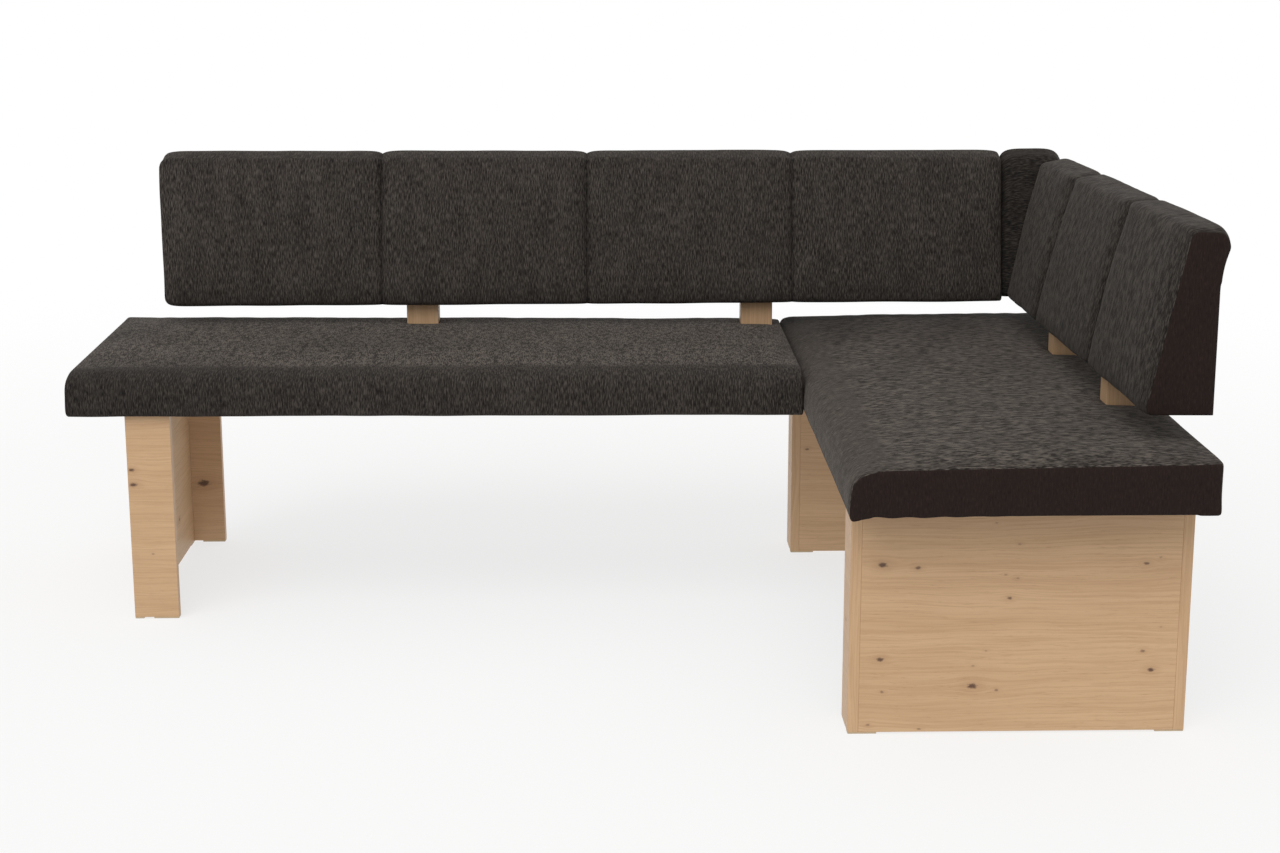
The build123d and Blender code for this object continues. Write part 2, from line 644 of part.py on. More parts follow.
# The two seats
screws_from_below = [
    place * screw_body(HOLE_EASE) for place in angle_screw_places + seat_plate_screw_places
]
SEAT_NODES = ("board", "foam", "cover", "underlining")
LONG_PAD = (-LONG_FREE_END, -SEAT_GAP, LONG_SEAT_CROWN, LONG_STRUTS)
SHORT_PAD = (-SEAT_DEPTH, SHORT_FREE_END, SHORT_SEAT_CROWN, SHORT_STRUTS)
SEAT_SIDES = (
    ("long_seat", LONG_SIDE, LONG_PAD, ("left", "right")),
    ("short_seat", SHORT_SIDE, SHORT_PAD, ("rear", "front")),
)
for seat, side, pad, panel_names in SEAT_SIDES:
    holes = [side.inverse() * hole for hole in screws_from_below]
    *layers, first_end, last_end = build_seat(*pad, holes)
    for layer, shape in zip(SEAT_NODES, layers):
        save(f"{seat}_{layer}", side * shape)
    for panel_name, shape in zip(panel_names, (first_end, last_end)):
        save(f"{seat}_{panel_name}_end_panel", side * shape)

# The struts and their bolts
STRUT_NAMES = {
    "long_left_strut": (LONG_SIDE, LONG_STRUTS[0]),
    "long_right_strut": (LONG_SIDE, LONG_STRUTS[1]),
    "short_rear_strut": (SHORT_SIDE, SHORT_STRUTS[0]),
    "short_front_strut": (SHORT_SIDE, SHORT_STRUTS[1]),
}
seat_bolts = []
back_bolts = []
for strut_name, (side, place) in STRUT_NAMES.items():
    save(strut_name, side * strut(place))
    seat_bolts += [side * bolt * bolt_body(SEAT_BOARD) for bolt in seat_bolt_places(place)]
    back_bolts += [side * bolt * bolt_body(BACK_BOARD) for bolt in back_bolt_places(place)]
save("strut_seat_bolts", *seat_bolts)
save("strut_back_bolts", *back_bolts)

# Plates behind the backrests: two across to the corner pad, two round its side
rear_plate_spots = [(x, 0.0) for x in BACK_PLATE_SCREWS]
half_plate = BACK_PLATE_LENGTH / 2
side_plate_spots = [
    (CORNER_PLATE_SCREW - half_plate, -CORNER_PLATE_STEP),
    (CORNER_PLATE_SCREW - half_plate, CORNER_PLATE_STEP),
]
side_plate_spots += [(x - half_plate, 0.0) for x in CORNER_PLATE_FAR]
rear_plate = plate(BACK_PLATE_LENGTH, BACK_PLATE_WIDTH, BACK_PLATE_THICKNESS, rear_plate_spots)
side_plate = plate(BACK_PLATE_LENGTH, BACK_PLATE_WIDTH, BACK_PLATE_THICKNESS, side_plate_spots)
back_plates = []
back_plate_screw_places = []
for level in BACK_PLATE_LEVELS:
    rear_place = LONG_SIDE * Pos(CORNER_LEFT - BACK_GAP / 2, BACK_REAR, level) * Rot(-90, 0, 0)
    side_middle = half_plate - BACK_BOARD_REAR
    side_place = SHORT_SIDE * Pos(side_middle, BACK_REAR, level) * Rot(-90, 0, 0)
    for place, spots, shape in (
        (rear_place, rear_plate_spots, rear_plate),
        (side_place, side_plate_spots, side_plate),
    ):
        back_plates.append(place * shape)
        back_plate_screw_places += [place * Pos(x, y, BACK_PLATE_THICKNESS) for x, y in spots]
save("backrest_joining_plates", *back_plates)
save("backrest_plate_screws", *[place * screw_body() for place in back_plate_screw_places])

# The three backrests
LONG_EDGES = [LONG_BACK_LEFT]
LONG_EDGES += [LONG_BACK_LEFT + LONG_FIRST_PAD + k * LONG_NEXT_PAD for k in range(LONG_SEAMS)]
LONG_EDGES.append(LONG_BACK_RIGHT)
SHORT_EDGES = [SHORT_BACK_FRONT]
SHORT_EDGES += [SHORT_BACK_FRONT - SHORT_FIRST_PAD - k * SHORT_NEXT_PAD for k in range(SHORT_SEAMS)]
SHORT_EDGES.append(SHORT_BACK_REAR)
SHORT_EDGES.reverse()
CORNER_EDGES = [CORNER_LEFT, BACK_REAR]
BACK_NODES = ("board", "foam", "cover", "back_lining")
LONG_PADS = (LONG_EDGES, pulls_long(LONG_EDGES), LONG_STRUTS, 0.0)
SHORT_PADS = (SHORT_EDGES, pulls_long(SHORT_EDGES), SHORT_STRUTS, -BACK_LEAN)
CORNER_PAD = (CORNER_EDGES, pulls_corner(*CORNER_EDGES), (), 0.0)
BACK_SIDES = (
    ("long_backrest", LONG_SIDE, LONG_PADS, ("left", "right")),
    ("short_backrest", SHORT_SIDE, SHORT_PADS, ("rear", "front")),
    ("corner_backrest", LONG_SIDE, CORNER_PAD, ("left", "right")),
)
for back, side, pads, panel_names in BACK_SIDES:
    holes = [side.inverse() * place * screw_body(HOLE_EASE) for place in back_plate_screw_places]
    board, foam, cover, lining, first_end, last_end = build_back(*pads)
    for hole in holes:
        board -= hole
        lining -= hole
        last_end -= hole
    for layer, shape in zip(BACK_NODES, (board, foam, cover, lining)):
        save(f"{back}_{layer}", side * shape)
    for panel_name, shape in zip(panel_names, (first_end, last_end)):
        save(f"{back}_{panel_name}_end_panel", side * shape)
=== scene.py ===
import json
import logging
import math
from dataclasses import dataclass, field
from enum import Enum
from typing import Callable, Iterable, Sequence

import bmesh
import bpy
import numpy as np
from mathutils import Matrix, Vector, noise


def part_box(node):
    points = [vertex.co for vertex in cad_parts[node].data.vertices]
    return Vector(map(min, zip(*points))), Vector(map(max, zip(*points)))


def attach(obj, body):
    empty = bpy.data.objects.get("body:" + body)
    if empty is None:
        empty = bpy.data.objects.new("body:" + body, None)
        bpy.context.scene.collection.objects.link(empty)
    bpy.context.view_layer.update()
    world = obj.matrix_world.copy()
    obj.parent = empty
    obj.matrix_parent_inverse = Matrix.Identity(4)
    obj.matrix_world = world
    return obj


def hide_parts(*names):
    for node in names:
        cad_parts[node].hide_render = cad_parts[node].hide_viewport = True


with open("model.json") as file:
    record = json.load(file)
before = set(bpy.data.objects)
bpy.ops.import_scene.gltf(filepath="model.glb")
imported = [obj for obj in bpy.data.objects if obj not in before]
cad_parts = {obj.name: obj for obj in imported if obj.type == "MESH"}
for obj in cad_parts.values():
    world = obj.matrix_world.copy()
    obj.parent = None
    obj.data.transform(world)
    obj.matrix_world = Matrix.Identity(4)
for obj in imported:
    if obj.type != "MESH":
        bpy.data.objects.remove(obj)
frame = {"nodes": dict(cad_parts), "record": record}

LOG = logging.getLogger("corner_bench")
BODY = "root"

# Inner corner of the two sitting edges, on the floor. Metres throughout.
DATUM = Vector((0.3945, 0.0755, 0.0))

Point = tuple[float, float]
Link = tuple[float, float, float, int]
Colour = tuple[float, float, float, float]


class Slot(Enum):
    """Material slots of the record."""

    OAK_BOARD = "oak_decor_board"
    OAK_STRUT = "oak_decor_strut"
    CHIPBOARD = "chipboard"
    FOAM = "foam"
    COVER = "cover_fabric"
    LINING = "dark_lining"
    GLIDE = "glide_plastic"
    DOWEL = "beech_dowel"
    STEEL = "zinc_steel"


class Side(Enum):
    """The two sides of the bench, each measured along, across and up from the inner corner."""

    LONG = "long"
    SHORT = "short"

    def place(self, along: float, across: float, height: float) -> Vector:
        """Point of the model for a place on this side.

        Args:
            along: distance along the side, growing away from the left or the rear end.
            across: distance back from the sitting edge.
            height: distance above the floor.

        Returns:
            The point in the model's frame.
        """
        if self is Side.LONG:
            return DATUM + Vector((along, across, height))
        return DATUM + Vector((across, -along, height))


class Grain(Enum):
    """Which way the wood figure runs on a board."""

    ACROSS_FACE_X = 0
    ACROSS_FACE_Y = 1
    UPRIGHT = 2


# Node trees


class NodeBench:
    """Adds nodes to one tree and links them in the same step."""

    def __init__(self, tree: bpy.types.NodeTree) -> None:
        """Work on the given tree."""
        self.tree = tree

    def add(self, kind: str, feeds: dict | None = None, **settings: object) -> bpy.types.Node:
        """Add a node.

        Args:
            kind: the node's type name.
            feeds: values or sockets for its inputs, by name or number.
            settings: the node's own properties.

        Returns:
            The new node.
        """
        node = self.tree.nodes.new(kind)
        for key, value in settings.items():
            setattr(node, key, value)
        for key, value in (feeds or {}).items():
            if isinstance(value, bpy.types.NodeSocket):
                self.tree.links.new(value, node.inputs[key])
            else:
                node.inputs[key].default_value = value
        return node

    def math(self, operation: str, *values: object) -> bpy.types.NodeSocket:
        """Result of a Math node over one, two or three values."""
        return self.add("ShaderNodeMath", dict(enumerate(values)), operation=operation).outputs[0]

    def vector(self, x: object, y: object, z: object) -> bpy.types.NodeSocket:
        """Vector put together from three values."""
        return self.add("ShaderNodeCombineXYZ", {0: x, 1: y, 2: z}).outputs[0]

    def parts(self, vector: bpy.types.NodeSocket) -> list[bpy.types.NodeSocket]:
        """The three values of a vector."""
        return list(self.add("ShaderNodeSeparateXYZ", {0: vector}).outputs)

    def noise(self, vector: object, detail: float, rough: float = 0.5) -> bpy.types.NodeSocket:
        """Noise of unit scale at a vector, from 0 to 1."""
        feeds = {"Vector": vector, "Scale": 1.0, "Detail": detail, "Roughness": rough}
        return self.add("ShaderNodeTexNoise", feeds).outputs[0]

    def ramp(self, value: object, low: float, high: float) -> bpy.types.NodeSocket:
        """Smooth step of a value from 0 at low to 1 at high."""
        node = self.add("ShaderNodeMapRange", {0: value, 1: low, 2: high}, interpolation_type="SMOOTHSTEP")
        return node.outputs[0]

    def mix(self, factor: object, first: object, second: object) -> bpy.types.NodeSocket:
        """Colour between two colours."""
        feeds = {0: factor, 6: first, 7: second}
        return self.add("ShaderNodeMix", feeds, data_type="RGBA").outputs[2]

    def relief(self, strength: float, distance: float, height: object) -> bpy.types.NodeSocket:
        """Normal of a surface that stands up by a height."""
        feeds = {"Strength": strength, "Distance": distance, "Height": height}
        return self.add("ShaderNodeBump", feeds).outputs[0]

    def shade(self, shader: bpy.types.Node, *sockets: bpy.types.NodeSocket) -> None:
        """Link a colour, a roughness and a normal to a Principled shader."""
        for label, socket in zip(("Base Color", "Roughness", "Normal"), sockets):
            self.tree.links.new(socket, shader.inputs[label])


def shader_group(
    name: str, takes: dict[str, str], gives: dict[str, str]
) -> tuple[NodeBench, dict[str, bpy.types.NodeSocket], bpy.types.Node]:
    """Start a shader node group.

    Args:
        name: the group's name.
        takes: its input names with their socket kinds.
        gives: its output names with their socket kinds.

    Returns:
        The bench of its tree, its inputs by name, and its output node.
    """
    tree = bpy.data.node_groups.new(name, "ShaderNodeTree")
    for label, kind in takes.items():
        tree.interface.new_socket(label, in_out="INPUT", socket_type=f"NodeSocket{kind}")
    for label, kind in gives.items():
        tree.interface.new_socket(label, in_out="OUTPUT", socket_type=f"NodeSocket{kind}")
    bench = NodeBench(tree)
    start = bench.add("NodeGroupInput")
    return bench, {label: start.outputs[label] for label in takes}, bench.add("NodeGroupOutput")


# Layers of thread flecks: how much finer than the main one along and across, weight, and noise layer.
THREAD_LAYERS = (
    (1.0, 1.0, 0.5, 0.0),
    (2.0, 1.8, 0.25, 7.0),
    (0.62, 0.5, 0.16, 3.0),
    (0.12, 0.05, 0.09, 5.0),
)
# Broader streaks by the same measures, and the ribs that the threads lie in.
TUFT_LAYER = (0.62, 0.17, 17.0)
RIBS_PER_THREAD = 2.6
RIB_SHARE = 0.05


def thread_group() -> bpy.types.NodeTree:
    """Flecked threads of a cloth: how light each thread is, and how far it stands up.

    Returns:
        The group's node tree.
    """
    bench, takes, out = shader_group(
        "cloth_threads",
        {"Cloth": "Vector", "Thread Length": "Float", "Thread Width": "Float"},
        {"Fleck": "Float", "Tuft": "Float", "Height": "Float"},
    )
    along, across, _ = bench.parts(takes["Cloth"])
    run = bench.math("DIVIDE", along, takes["Thread Length"])
    rows = bench.math("DIVIDE", across, takes["Thread Width"])

    def streaks(times_run: float, times_rows: float, layer: float) -> bpy.types.NodeSocket:
        """Noise drawn out along the threads."""
        finer = bench.math("MULTIPLY", run, times_run), bench.math("MULTIPLY", rows, times_rows)
        return bench.noise(bench.vector(*finer, layer), 1.0)

    fleck: object = 0.0
    for times_run, times_rows, weight, layer in THREAD_LAYERS:
        fleck = bench.math("MULTIPLY_ADD", streaks(times_run, times_rows, layer), weight, fleck)
    rib = bench.math("SINE", bench.math("MULTIPLY", rows, math.tau * RIBS_PER_THREAD))
    bench.tree.links.new(fleck, out.inputs["Fleck"])
    bench.tree.links.new(streaks(*TUFT_LAYER), out.inputs["Tuft"])
    bench.tree.links.new(bench.math("MULTIPLY_ADD", rib, RIB_SHARE, fleck), out.inputs["Height"])
    return bench.tree


# How far apart the boards lie in one figure, and how much longer than tall a knot is.
BOARDS_APART = 13.7
KNOT_STRETCH = 1.7
# How the growth lines are pushed aside by a knot, and how far they drift.
FLOW_FADE, FLOW_PUSH = -0.16, 0.75
LINE_DRIFT = 0.05
# Half heights of a knot that is hardly seen and of a full one, and how ragged its edge is.
KNOT_SIZES = (0.0002, 0.0046)
KNOT_RAGGED = 1.1
# Where each part of the figure starts and is full.
FIGURE_STEPS = {
    "Band": (0.30, 0.72),
    "Line": (0.40, 0.64),
    "Pore": (0.60, 0.74),
    "Halo": (0.50, 3.40),
    "Core": (0.30, 1.05),
}
# How strongly each part tints the wood, and with which shade.
FIGURE_TINTS = (
    ("Band", 0.38, "dark"), ("Line", 0.58, "dark"), ("Pore", 0.42, "line"), ("Halo", 0.24, "halo"),
    ("Core", 0.95, "core"),
)


def figure_group() -> bpy.types.NodeTree:
    """Oak figure: growth lines that flow round knots, pores, and the knots themselves.

    Returns:
        The group's node tree.
    """
    bench, takes, out = shader_group(
        "oak_figure",
        {"Grain": "Vector", "Knot": "Vector", "Board": "Float"},
        {label: "Float" for label in ("Band", "Line", "Pore", "Halo", "Core", "Height")},
    )
    along, across, _ = bench.parts(takes["Grain"])
    off_along, off_across, size = bench.parts(takes["Knot"])
    board = bench.math("MULTIPLY", takes["Board"], BOARDS_APART)
    wide = bench.math("DIVIDE", off_along, bench.math("MULTIPLY", size, KNOT_STRETCH))
    tall = bench.math("DIVIDE", off_across, size)
    reach = bench.math("ADD", bench.math("MULTIPLY", wide, wide), bench.math("MULTIPLY", tall, tall))
    flow = bench.math("EXPONENT", bench.math("MULTIPLY", reach, FLOW_FADE))
    pushed = bench.math("MULTIPLY", bench.math("MULTIPLY", off_across, flow), FLOW_PUSH)
    round_knot = bench.math("SUBTRACT", across, pushed)

    def grain_noise(
        per_run: float, lay: object, per_row: float, detail: float = 2.0, rough: float = 0.5
    ) -> bpy.types.NodeSocket:
        """Noise drawn out along the grain.

        Args:
            per_run: changes per metre along the grain.
            lay: the place across the grain.
            per_row: changes per metre across the grain.
            detail: octaves of finer noise.
            rough: weight of the finer noise.

        Returns:
            The noise, from 0 to 1.
        """
        run, rows = bench.math("MULTIPLY", along, per_run), bench.math("MULTIPLY", lay, per_row)
        return bench.noise(bench.vector(run, rows, board), detail, rough)

    lines_at = bench.math("MULTIPLY_ADD", grain_noise(2.4, round_knot, 5.0), LINE_DRIFT, round_knot)
    band = grain_noise(2.2, lines_at, 34.0)
    line = grain_noise(6.5, lines_at, 380.0, 3.0, 0.6)
    pore = grain_noise(45.0, lines_at, 950.0)
    ragged = grain_noise(190.0, across, 320.0)
    off_middle = bench.math("SUBTRACT", ragged, 0.5)
    edge = bench.math("MULTIPLY_ADD", off_middle, KNOT_RAGGED, bench.math("SQRT", reach))
    strength = bench.ramp(size, *KNOT_SIZES)
    drawn = {"Band": band, "Line": line, "Pore": pore, "Halo": edge, "Core": edge}
    shown = {label: bench.ramp(value, *FIGURE_STEPS[label]) for label, value in drawn.items()}
    for label in ("Halo", "Core"):
        shown[label] = bench.math("MULTIPLY", strength, bench.math("SUBTRACT", 1.0, shown[label]))
    pores, cores = bench.math("MULTIPLY", shown["Pore"], 0.6), bench.math("MULTIPLY", shown["Core"], 0.4)
    shown["Height"] = bench.math("SUBTRACT", 1.0, bench.math("ADD", pores, cores))
    for label, socket in shown.items():
        bench.tree.links.new(socket, out.inputs[label])
    return bench.tree


def speckle_group() -> bpy.types.NodeTree:
    """Even speckle of a moulded, plated or pressed surface, in two sizes.

    Returns:
        The group's node tree.
    """
    bench, takes, out = shader_group(
        "surface_speckle",
        {"Place": "Vector", "Coarse": "Float", "Fine": "Float"},
        {"Patch": "Float", "Grit": "Float"},
    )
    for label, scale, detail in (("Patch", "Coarse", 3.0), ("Grit", "Fine", 2.0)):
        feeds = {"Vector": takes["Place"], "Scale": takes[scale], "Detail": detail}
        bench.tree.links.new(bench.add("ShaderNodeTexNoise", feeds).outputs[0], out.inputs[label])
    return bench.tree


# Finishes


def bare_material(name: str) -> tuple[bpy.types.Material, NodeBench, bpy.types.Node]:
    """New material with only a Principled shader and its output node.

    Args:
        name: the material's name.

    Returns:
        The material, the bench of its tree, and the shader.
    """
    material = bpy.data.materials.new(name)
    material.use_nodes = True
    bench = NodeBench(material.node_tree)
    return material, bench, material.node_tree.nodes["Principled BSDF"]


@dataclass(frozen=True)
class ClothFinish:
    """Woven cloth whose threads run along the first axis of its own cloth map."""

    name: str
    shade: Colour
    body: Colour
    tip: Colour
    spread: Point
    thread_length: float
    thread_width: float
    relief: float
    sheen: float
    sheen_tint: Colour

    def material(self, threads: bpy.types.NodeTree) -> bpy.types.Material:
        """Build the material.

        Args:
            threads: the shared thread group.

        Returns:
            The finished material.
        """
        material, bench, shader = bare_material(self.name)
        group = bench.add("ShaderNodeGroup", node_tree=threads)
        bench.tree.links.new(bench.add("ShaderNodeUVMap", uv_map="cloth").outputs[0], group.inputs["Cloth"])
        group.inputs["Thread Length"].default_value = self.thread_length
        group.inputs["Thread Width"].default_value = self.thread_width
        low, high = self.spread
        middle = (low + high) / 2
        pile = bench.add("ShaderNodeAttribute", attribute_name="pile").outputs["Fac"]
        apart = bench.math("SUBTRACT", group.outputs["Fleck"], middle)
        tufts = bench.add("ShaderNodeAttribute", attribute_name="tufts").outputs["Fac"]
        open_fleck = bench.math("MULTIPLY_ADD", apart, pile, group.outputs["Fleck"])
        tuft = bench.math("SUBTRACT", group.outputs["Tuft"], 0.5)
        fleck = bench.math("MULTIPLY_ADD", tuft, tufts, open_fleck)
        dark = bench.mix(bench.ramp(fleck, low, middle), self.shade, self.body)
        threads_lit = bench.mix(bench.ramp(fleck, middle, high), dark, self.tip)
        # Painted shade darkens the cloth towards black by the stored share; on the seats the share also holds
        # brushed patches of pile.
        painted_shade_and_brushing = bench.add("ShaderNodeAttribute", attribute_name="painted_shade_and_brushing").outputs["Fac"]
        colour = bench.mix(painted_shade_and_brushing, threads_lit, (0.0, 0.0, 0.0, 1.0))
        rough = bench.math("MULTIPLY_ADD", group.outputs["Fleck"], 0.12, 0.84)
        bench.shade(shader, colour, rough, bench.relief(0.55, self.relief, group.outputs["Height"]))
        shader.inputs["Sheen Weight"].default_value = self.sheen
        shader.inputs["Sheen Roughness"].default_value = 0.45
        shader.inputs["Sheen Tint"].default_value = self.sheen_tint
        shader.inputs["Specular IOR Level"].default_value = 0.15
        return material


@dataclass(frozen=True)
class OakFinish:
    """Light knotty oak decor, printed and slightly embossed."""

    name: str
    light: Colour
    dark: Colour
    line: Colour
    halo: Colour
    core: Colour
    gloss_rough: float

    def material(self, figure: bpy.types.NodeTree) -> bpy.types.Material:
        """Build the material.

        Args:
            figure: the shared wood figure group.

        Returns:
            The finished material.
        """
        material, bench, shader = bare_material(self.name)
        group = bench.add("ShaderNodeGroup", node_tree=figure)
        bench.tree.links.new(bench.add("ShaderNodeUVMap", uv_map="grain").outputs[0], group.inputs["Grain"])
        knot = bench.add("ShaderNodeAttribute", attribute_name="knot")
        board = bench.add("ShaderNodeAttribute", attribute_name="board")
        bench.tree.links.new(knot.outputs["Vector"], group.inputs["Knot"])
        bench.tree.links.new(board.outputs["Fac"], group.inputs["Board"])
        given = group.outputs
        colour: object = self.light
        for label, share, shade in FIGURE_TINTS:
            colour = bench.mix(bench.math("MULTIPLY", given[label], share), colour, getattr(self, shade))
        rough = bench.math("MULTIPLY_ADD", given["Pore"], 0.12, self.gloss_rough)
        bench.shade(shader, colour, rough, bench.relief(0.25, 0.0004, given["Height"]))
        shader.inputs["Specular IOR Level"].default_value = 0.35
        return material


@dataclass(frozen=True)
class SpeckledFinish:
    """Plain material with fine speckle: plated steel, moulded plastic, pressed or plain wood."""

    name: str
    low: Colour
    high: Colour
    rough: Point
    coarse: float
    fine: float
    relief: float
    metal: float = 0.0

    def material(self, speckle: bpy.types.NodeTree) -> bpy.types.Material:
        """Build the material.

        Args:
            speckle: the shared speckle group.

        Returns:
            The finished material.
        """
        material, bench, shader = bare_material(self.name)
        place = bench.add("ShaderNodeTexCoord").outputs["Object"]
        group = bench.add("ShaderNodeGroup", node_tree=speckle)
        bench.tree.links.new(place, group.inputs["Place"])
        group.inputs["Coarse"].default_value = self.coarse
        group.inputs["Fine"].default_value = self.fine
        patch, grit = group.outputs["Patch"], group.outputs["Grit"]
        both = bench.math("MULTIPLY_ADD", grit, 0.6, bench.math("MULTIPLY", patch, 0.4))
        colour = bench.mix(bench.ramp(both, 0.3, 0.7), self.low, self.high)
        first, last = self.rough
        rough = bench.math("MULTIPLY_ADD", patch, last - first, first)
        bench.shade(shader, colour, rough, bench.relief(0.3, self.relief, grit))
        shader.inputs["Metallic"].default_value = self.metal
        return material


OAK_SHADES = {
    "light": (0.632, 0.415, 0.240, 1.0),
    "dark": (0.490, 0.298, 0.158, 1.0),
    "line": (0.360, 0.200, 0.096, 1.0),
    "halo": (0.320, 0.165, 0.080, 1.0),
    "core": (0.105, 0.054, 0.034, 1.0),
}
COVER_FINISH = ClothFinish(
    name="streaked_chenille",
    shade=(0.0135, 0.0111, 0.0096, 1.0),
    body=(0.0490, 0.0410, 0.0353, 1.0),
    tip=(0.1200, 0.1012, 0.0872, 1.0),
    spread=(0.41, 0.59),
    thread_length=0.0130,
    thread_width=0.0016,
    relief=0.0006,
    sheen=0.07,
    sheen_tint=(0.80, 0.71, 0.63, 1.0),
)
LINING_FINISH = ClothFinish(
    name="plain_dark_lining",
    shade=(0.0102, 0.0060, 0.0049, 1.0),
    body=(0.0172, 0.0102, 0.0083, 1.0),
    tip=(0.0270, 0.0168, 0.0138, 1.0),
    spread=(0.34, 0.66),
    thread_length=0.010,
    thread_width=0.0022,
    relief=0.0003,
    sheen=0.05,
    sheen_tint=(0.60, 0.50, 0.46, 1.0),
)
OAK_FINISHES = {
    Slot.OAK_BOARD: OakFinish(name="oak_decor_boards", gloss_rough=0.46, **OAK_SHADES),
    Slot.OAK_STRUT: OakFinish(name="oak_decor_struts", gloss_rough=0.50, **OAK_SHADES),
}
SPECKLED_FINISHES = {
    Slot.CHIPBOARD: SpeckledFinish(
        name="pressed_chipboard",
        low=(0.30, 0.20, 0.11, 1.0),
        high=(0.58, 0.45, 0.29, 1.0),
        rough=(0.75, 0.92),
        coarse=160.0,
        fine=620.0,
        relief=0.00080,
    ),
    Slot.GLIDE: SpeckledFinish(
        name="beige_glides",
        low=(0.47, 0.35, 0.22, 1.0),
        high=(0.56, 0.43, 0.28, 1.0),
        rough=(0.45, 0.6),
        coarse=90.0,
        fine=1400.0,
        relief=0.00010,
    ),
    Slot.DOWEL: SpeckledFinish(
        name="plain_beech",
        low=(0.52, 0.36, 0.21, 1.0),
        high=(0.66, 0.48, 0.31, 1.0),
        rough=(0.6, 0.75),
        coarse=120.0,
        fine=900.0,
        relief=0.00020,
    ),
    Slot.STEEL: SpeckledFinish(
        name="zinc_plated_steel",
        low=(0.50, 0.50, 0.48, 1.0),
        high=(0.68, 0.68, 0.66, 1.0),
        rough=(0.28, 0.46),
        coarse=70.0,
        fine=900.0,
        relief=0.00005,
        metal=1.0,
    ),
}


@dataclass
class Finishes:
    """All materials of the bench, by slot."""

    by_slot: dict[Slot, bpy.types.Material] = field(default_factory=dict)

    def build(self) -> None:
        """Make the shared groups once, and every material from them."""
        threads, figure, speckle = thread_group(), figure_group(), speckle_group()
        self.by_slot[Slot.COVER] = COVER_FINISH.material(threads)
        self.by_slot[Slot.LINING] = LINING_FINISH.material(threads)
        for slot, finish in OAK_FINISHES.items():
            self.by_slot[slot] = finish.material(figure)
        for slot, finish in SPECKLED_FINISHES.items():
            self.by_slot[slot] = finish.material(speckle)

    def enrol(self, piece: bpy.types.Object, slot: Slot, *nodes: str) -> None:
        """Give a piece its material and its place in the frame.

        Args:
            piece: the finished piece.
            slot: the record's slot that it takes its finish from.
            nodes: the frame's nodes that it stands for.
        """
        piece.data.materials.clear()
        piece.data.materials.append(self.by_slot[slot])
        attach(piece, BODY)
        if nodes:
            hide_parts(*nodes)
        LOG.info("%s: %d faces, for %s", piece.name, len(piece.data.polygons), ", ".join(nodes) or "no node")

    def dress_frame(self) -> None:
        """Put the finishes on the nodes that stay as they are."""
        slots = {part["node"]: Slot(part["material_slot"]) for part in frame["record"]["subparts"]}
        for name, node in frame["nodes"].items():
            if node.hide_render:
                continue
            for holder in node.material_slots:
                holder.material = self.by_slot[slots[name]]
            LOG.info("%s: kept, dressed as %s", name, slots[name].value)


# Meshes


EDGE_MARKS = (0.0, 0.45, 0.9)


def unit(value: float) -> float:
    """Value held between 0 and 1."""
    return min(1.0, max(0.0, value))


def new_piece(name: str, mesh: bpy.types.Mesh) -> bpy.types.Object:
    """Object of a mesh, linked to the scene at the origin.

    Args:
        name: the object's name.
        mesh: its mesh, already in its place.

    Returns:
        The new object.
    """
    piece = bpy.data.objects.new(name, mesh)
    bpy.context.scene.collection.objects.link(piece)
    return piece


def write_mesh(
    name: str, points: Sequence[Vector], faces: Sequence[Sequence[int]], smooth: bool = True
) -> bpy.types.Mesh:
    """Mesh with outward faces.

    Args:
        name: the mesh's name.
        points: its vertices.
        faces: its faces as vertex numbers.
        smooth: whether its faces are shaded smooth.

    Returns:
        The new mesh.
    """
    mesh = bpy.data.meshes.new(name)
    mesh.from_pydata([tuple(p) for p in points], [], [tuple(f) for f in faces])
    shape = bmesh.new()
    shape.from_mesh(mesh)
    bmesh.ops.triangulate(shape, faces=[face for face in shape.faces if len(face.verts) > 4])
    bmesh.ops.recalc_face_normals(shape, faces=shape.faces)
    shape.to_mesh(mesh)
    shape.free()
    mesh.polygons.foreach_set("use_smooth", [smooth] * len(mesh.polygons))
    return mesh


def write_map(mesh: bpy.types.Mesh, name: str, at: Callable[[int, Sequence[int]], Point]) -> None:
    """Give a mesh its own map.

    Args:
        mesh: the mesh.
        name: the map's name.
        at: place on the map for a vertex number, given the vertex numbers of its face.
    """
    layer = mesh.uv_layers.new(name=name)
    for face in mesh.polygons:
        corners = list(face.vertices)
        for loop, vertex in zip(face.loop_indices, corners):
            layer.data[loop].uv = at(vertex, corners)


def finish_soft(piece: bpy.types.Object, thickness: float = 0.0) -> None:
    """Round a soft piece with one subdivision, and give a sheet its thickness.

    Args:
        piece: the piece.
        thickness: the cloth's thickness, or 0 for a closed pad.
    """
    if thickness:
        wall = piece.modifiers.new("thickness", "SOLIDIFY")
        wall.thickness = thickness
        wall.offset = -1.0
    smooth = piece.modifiers.new("rounding", "SUBSURF")
    smooth.levels = smooth.render_levels = 1
    smooth.boundary_smooth = "PRESERVE_CORNERS"


def bowed(start: Point, end: Point, bulge: float, steps: int) -> list[Point]:
    """Points of a shallow bow, without its last one.

    Args:
        start: first point.
        end: last point.
        bulge: how far the middle stands out to the right of the way.
        steps: number of parts.

    Returns:
        The points.
    """
    run, rise = end[0] - start[0], end[1] - start[1]
    length = math.hypot(run, rise) or 1.0
    points = []
    for step in range(steps):
        t = step / steps
        out = 4 * t * (1 - t) * bulge / length
        points.append((start[0] + t * run + out * rise, start[1] + t * rise - out * run))
    return points


def closed_outline(chain: Sequence[Link]) -> list[Point]:
    """Closed outline from corners, each with the bulge and the parts of the edge it starts.

    Args:
        chain: the corners in order.

    Returns:
        The outline's points.
    """
    points: list[Point] = []
    for (y0, z0, bulge, steps), (y1, z1, _, _) in zip(chain, [*chain[1:], chain[0]]):
        points += bowed((y0, z0), (y1, z1), bulge, steps)
    return points


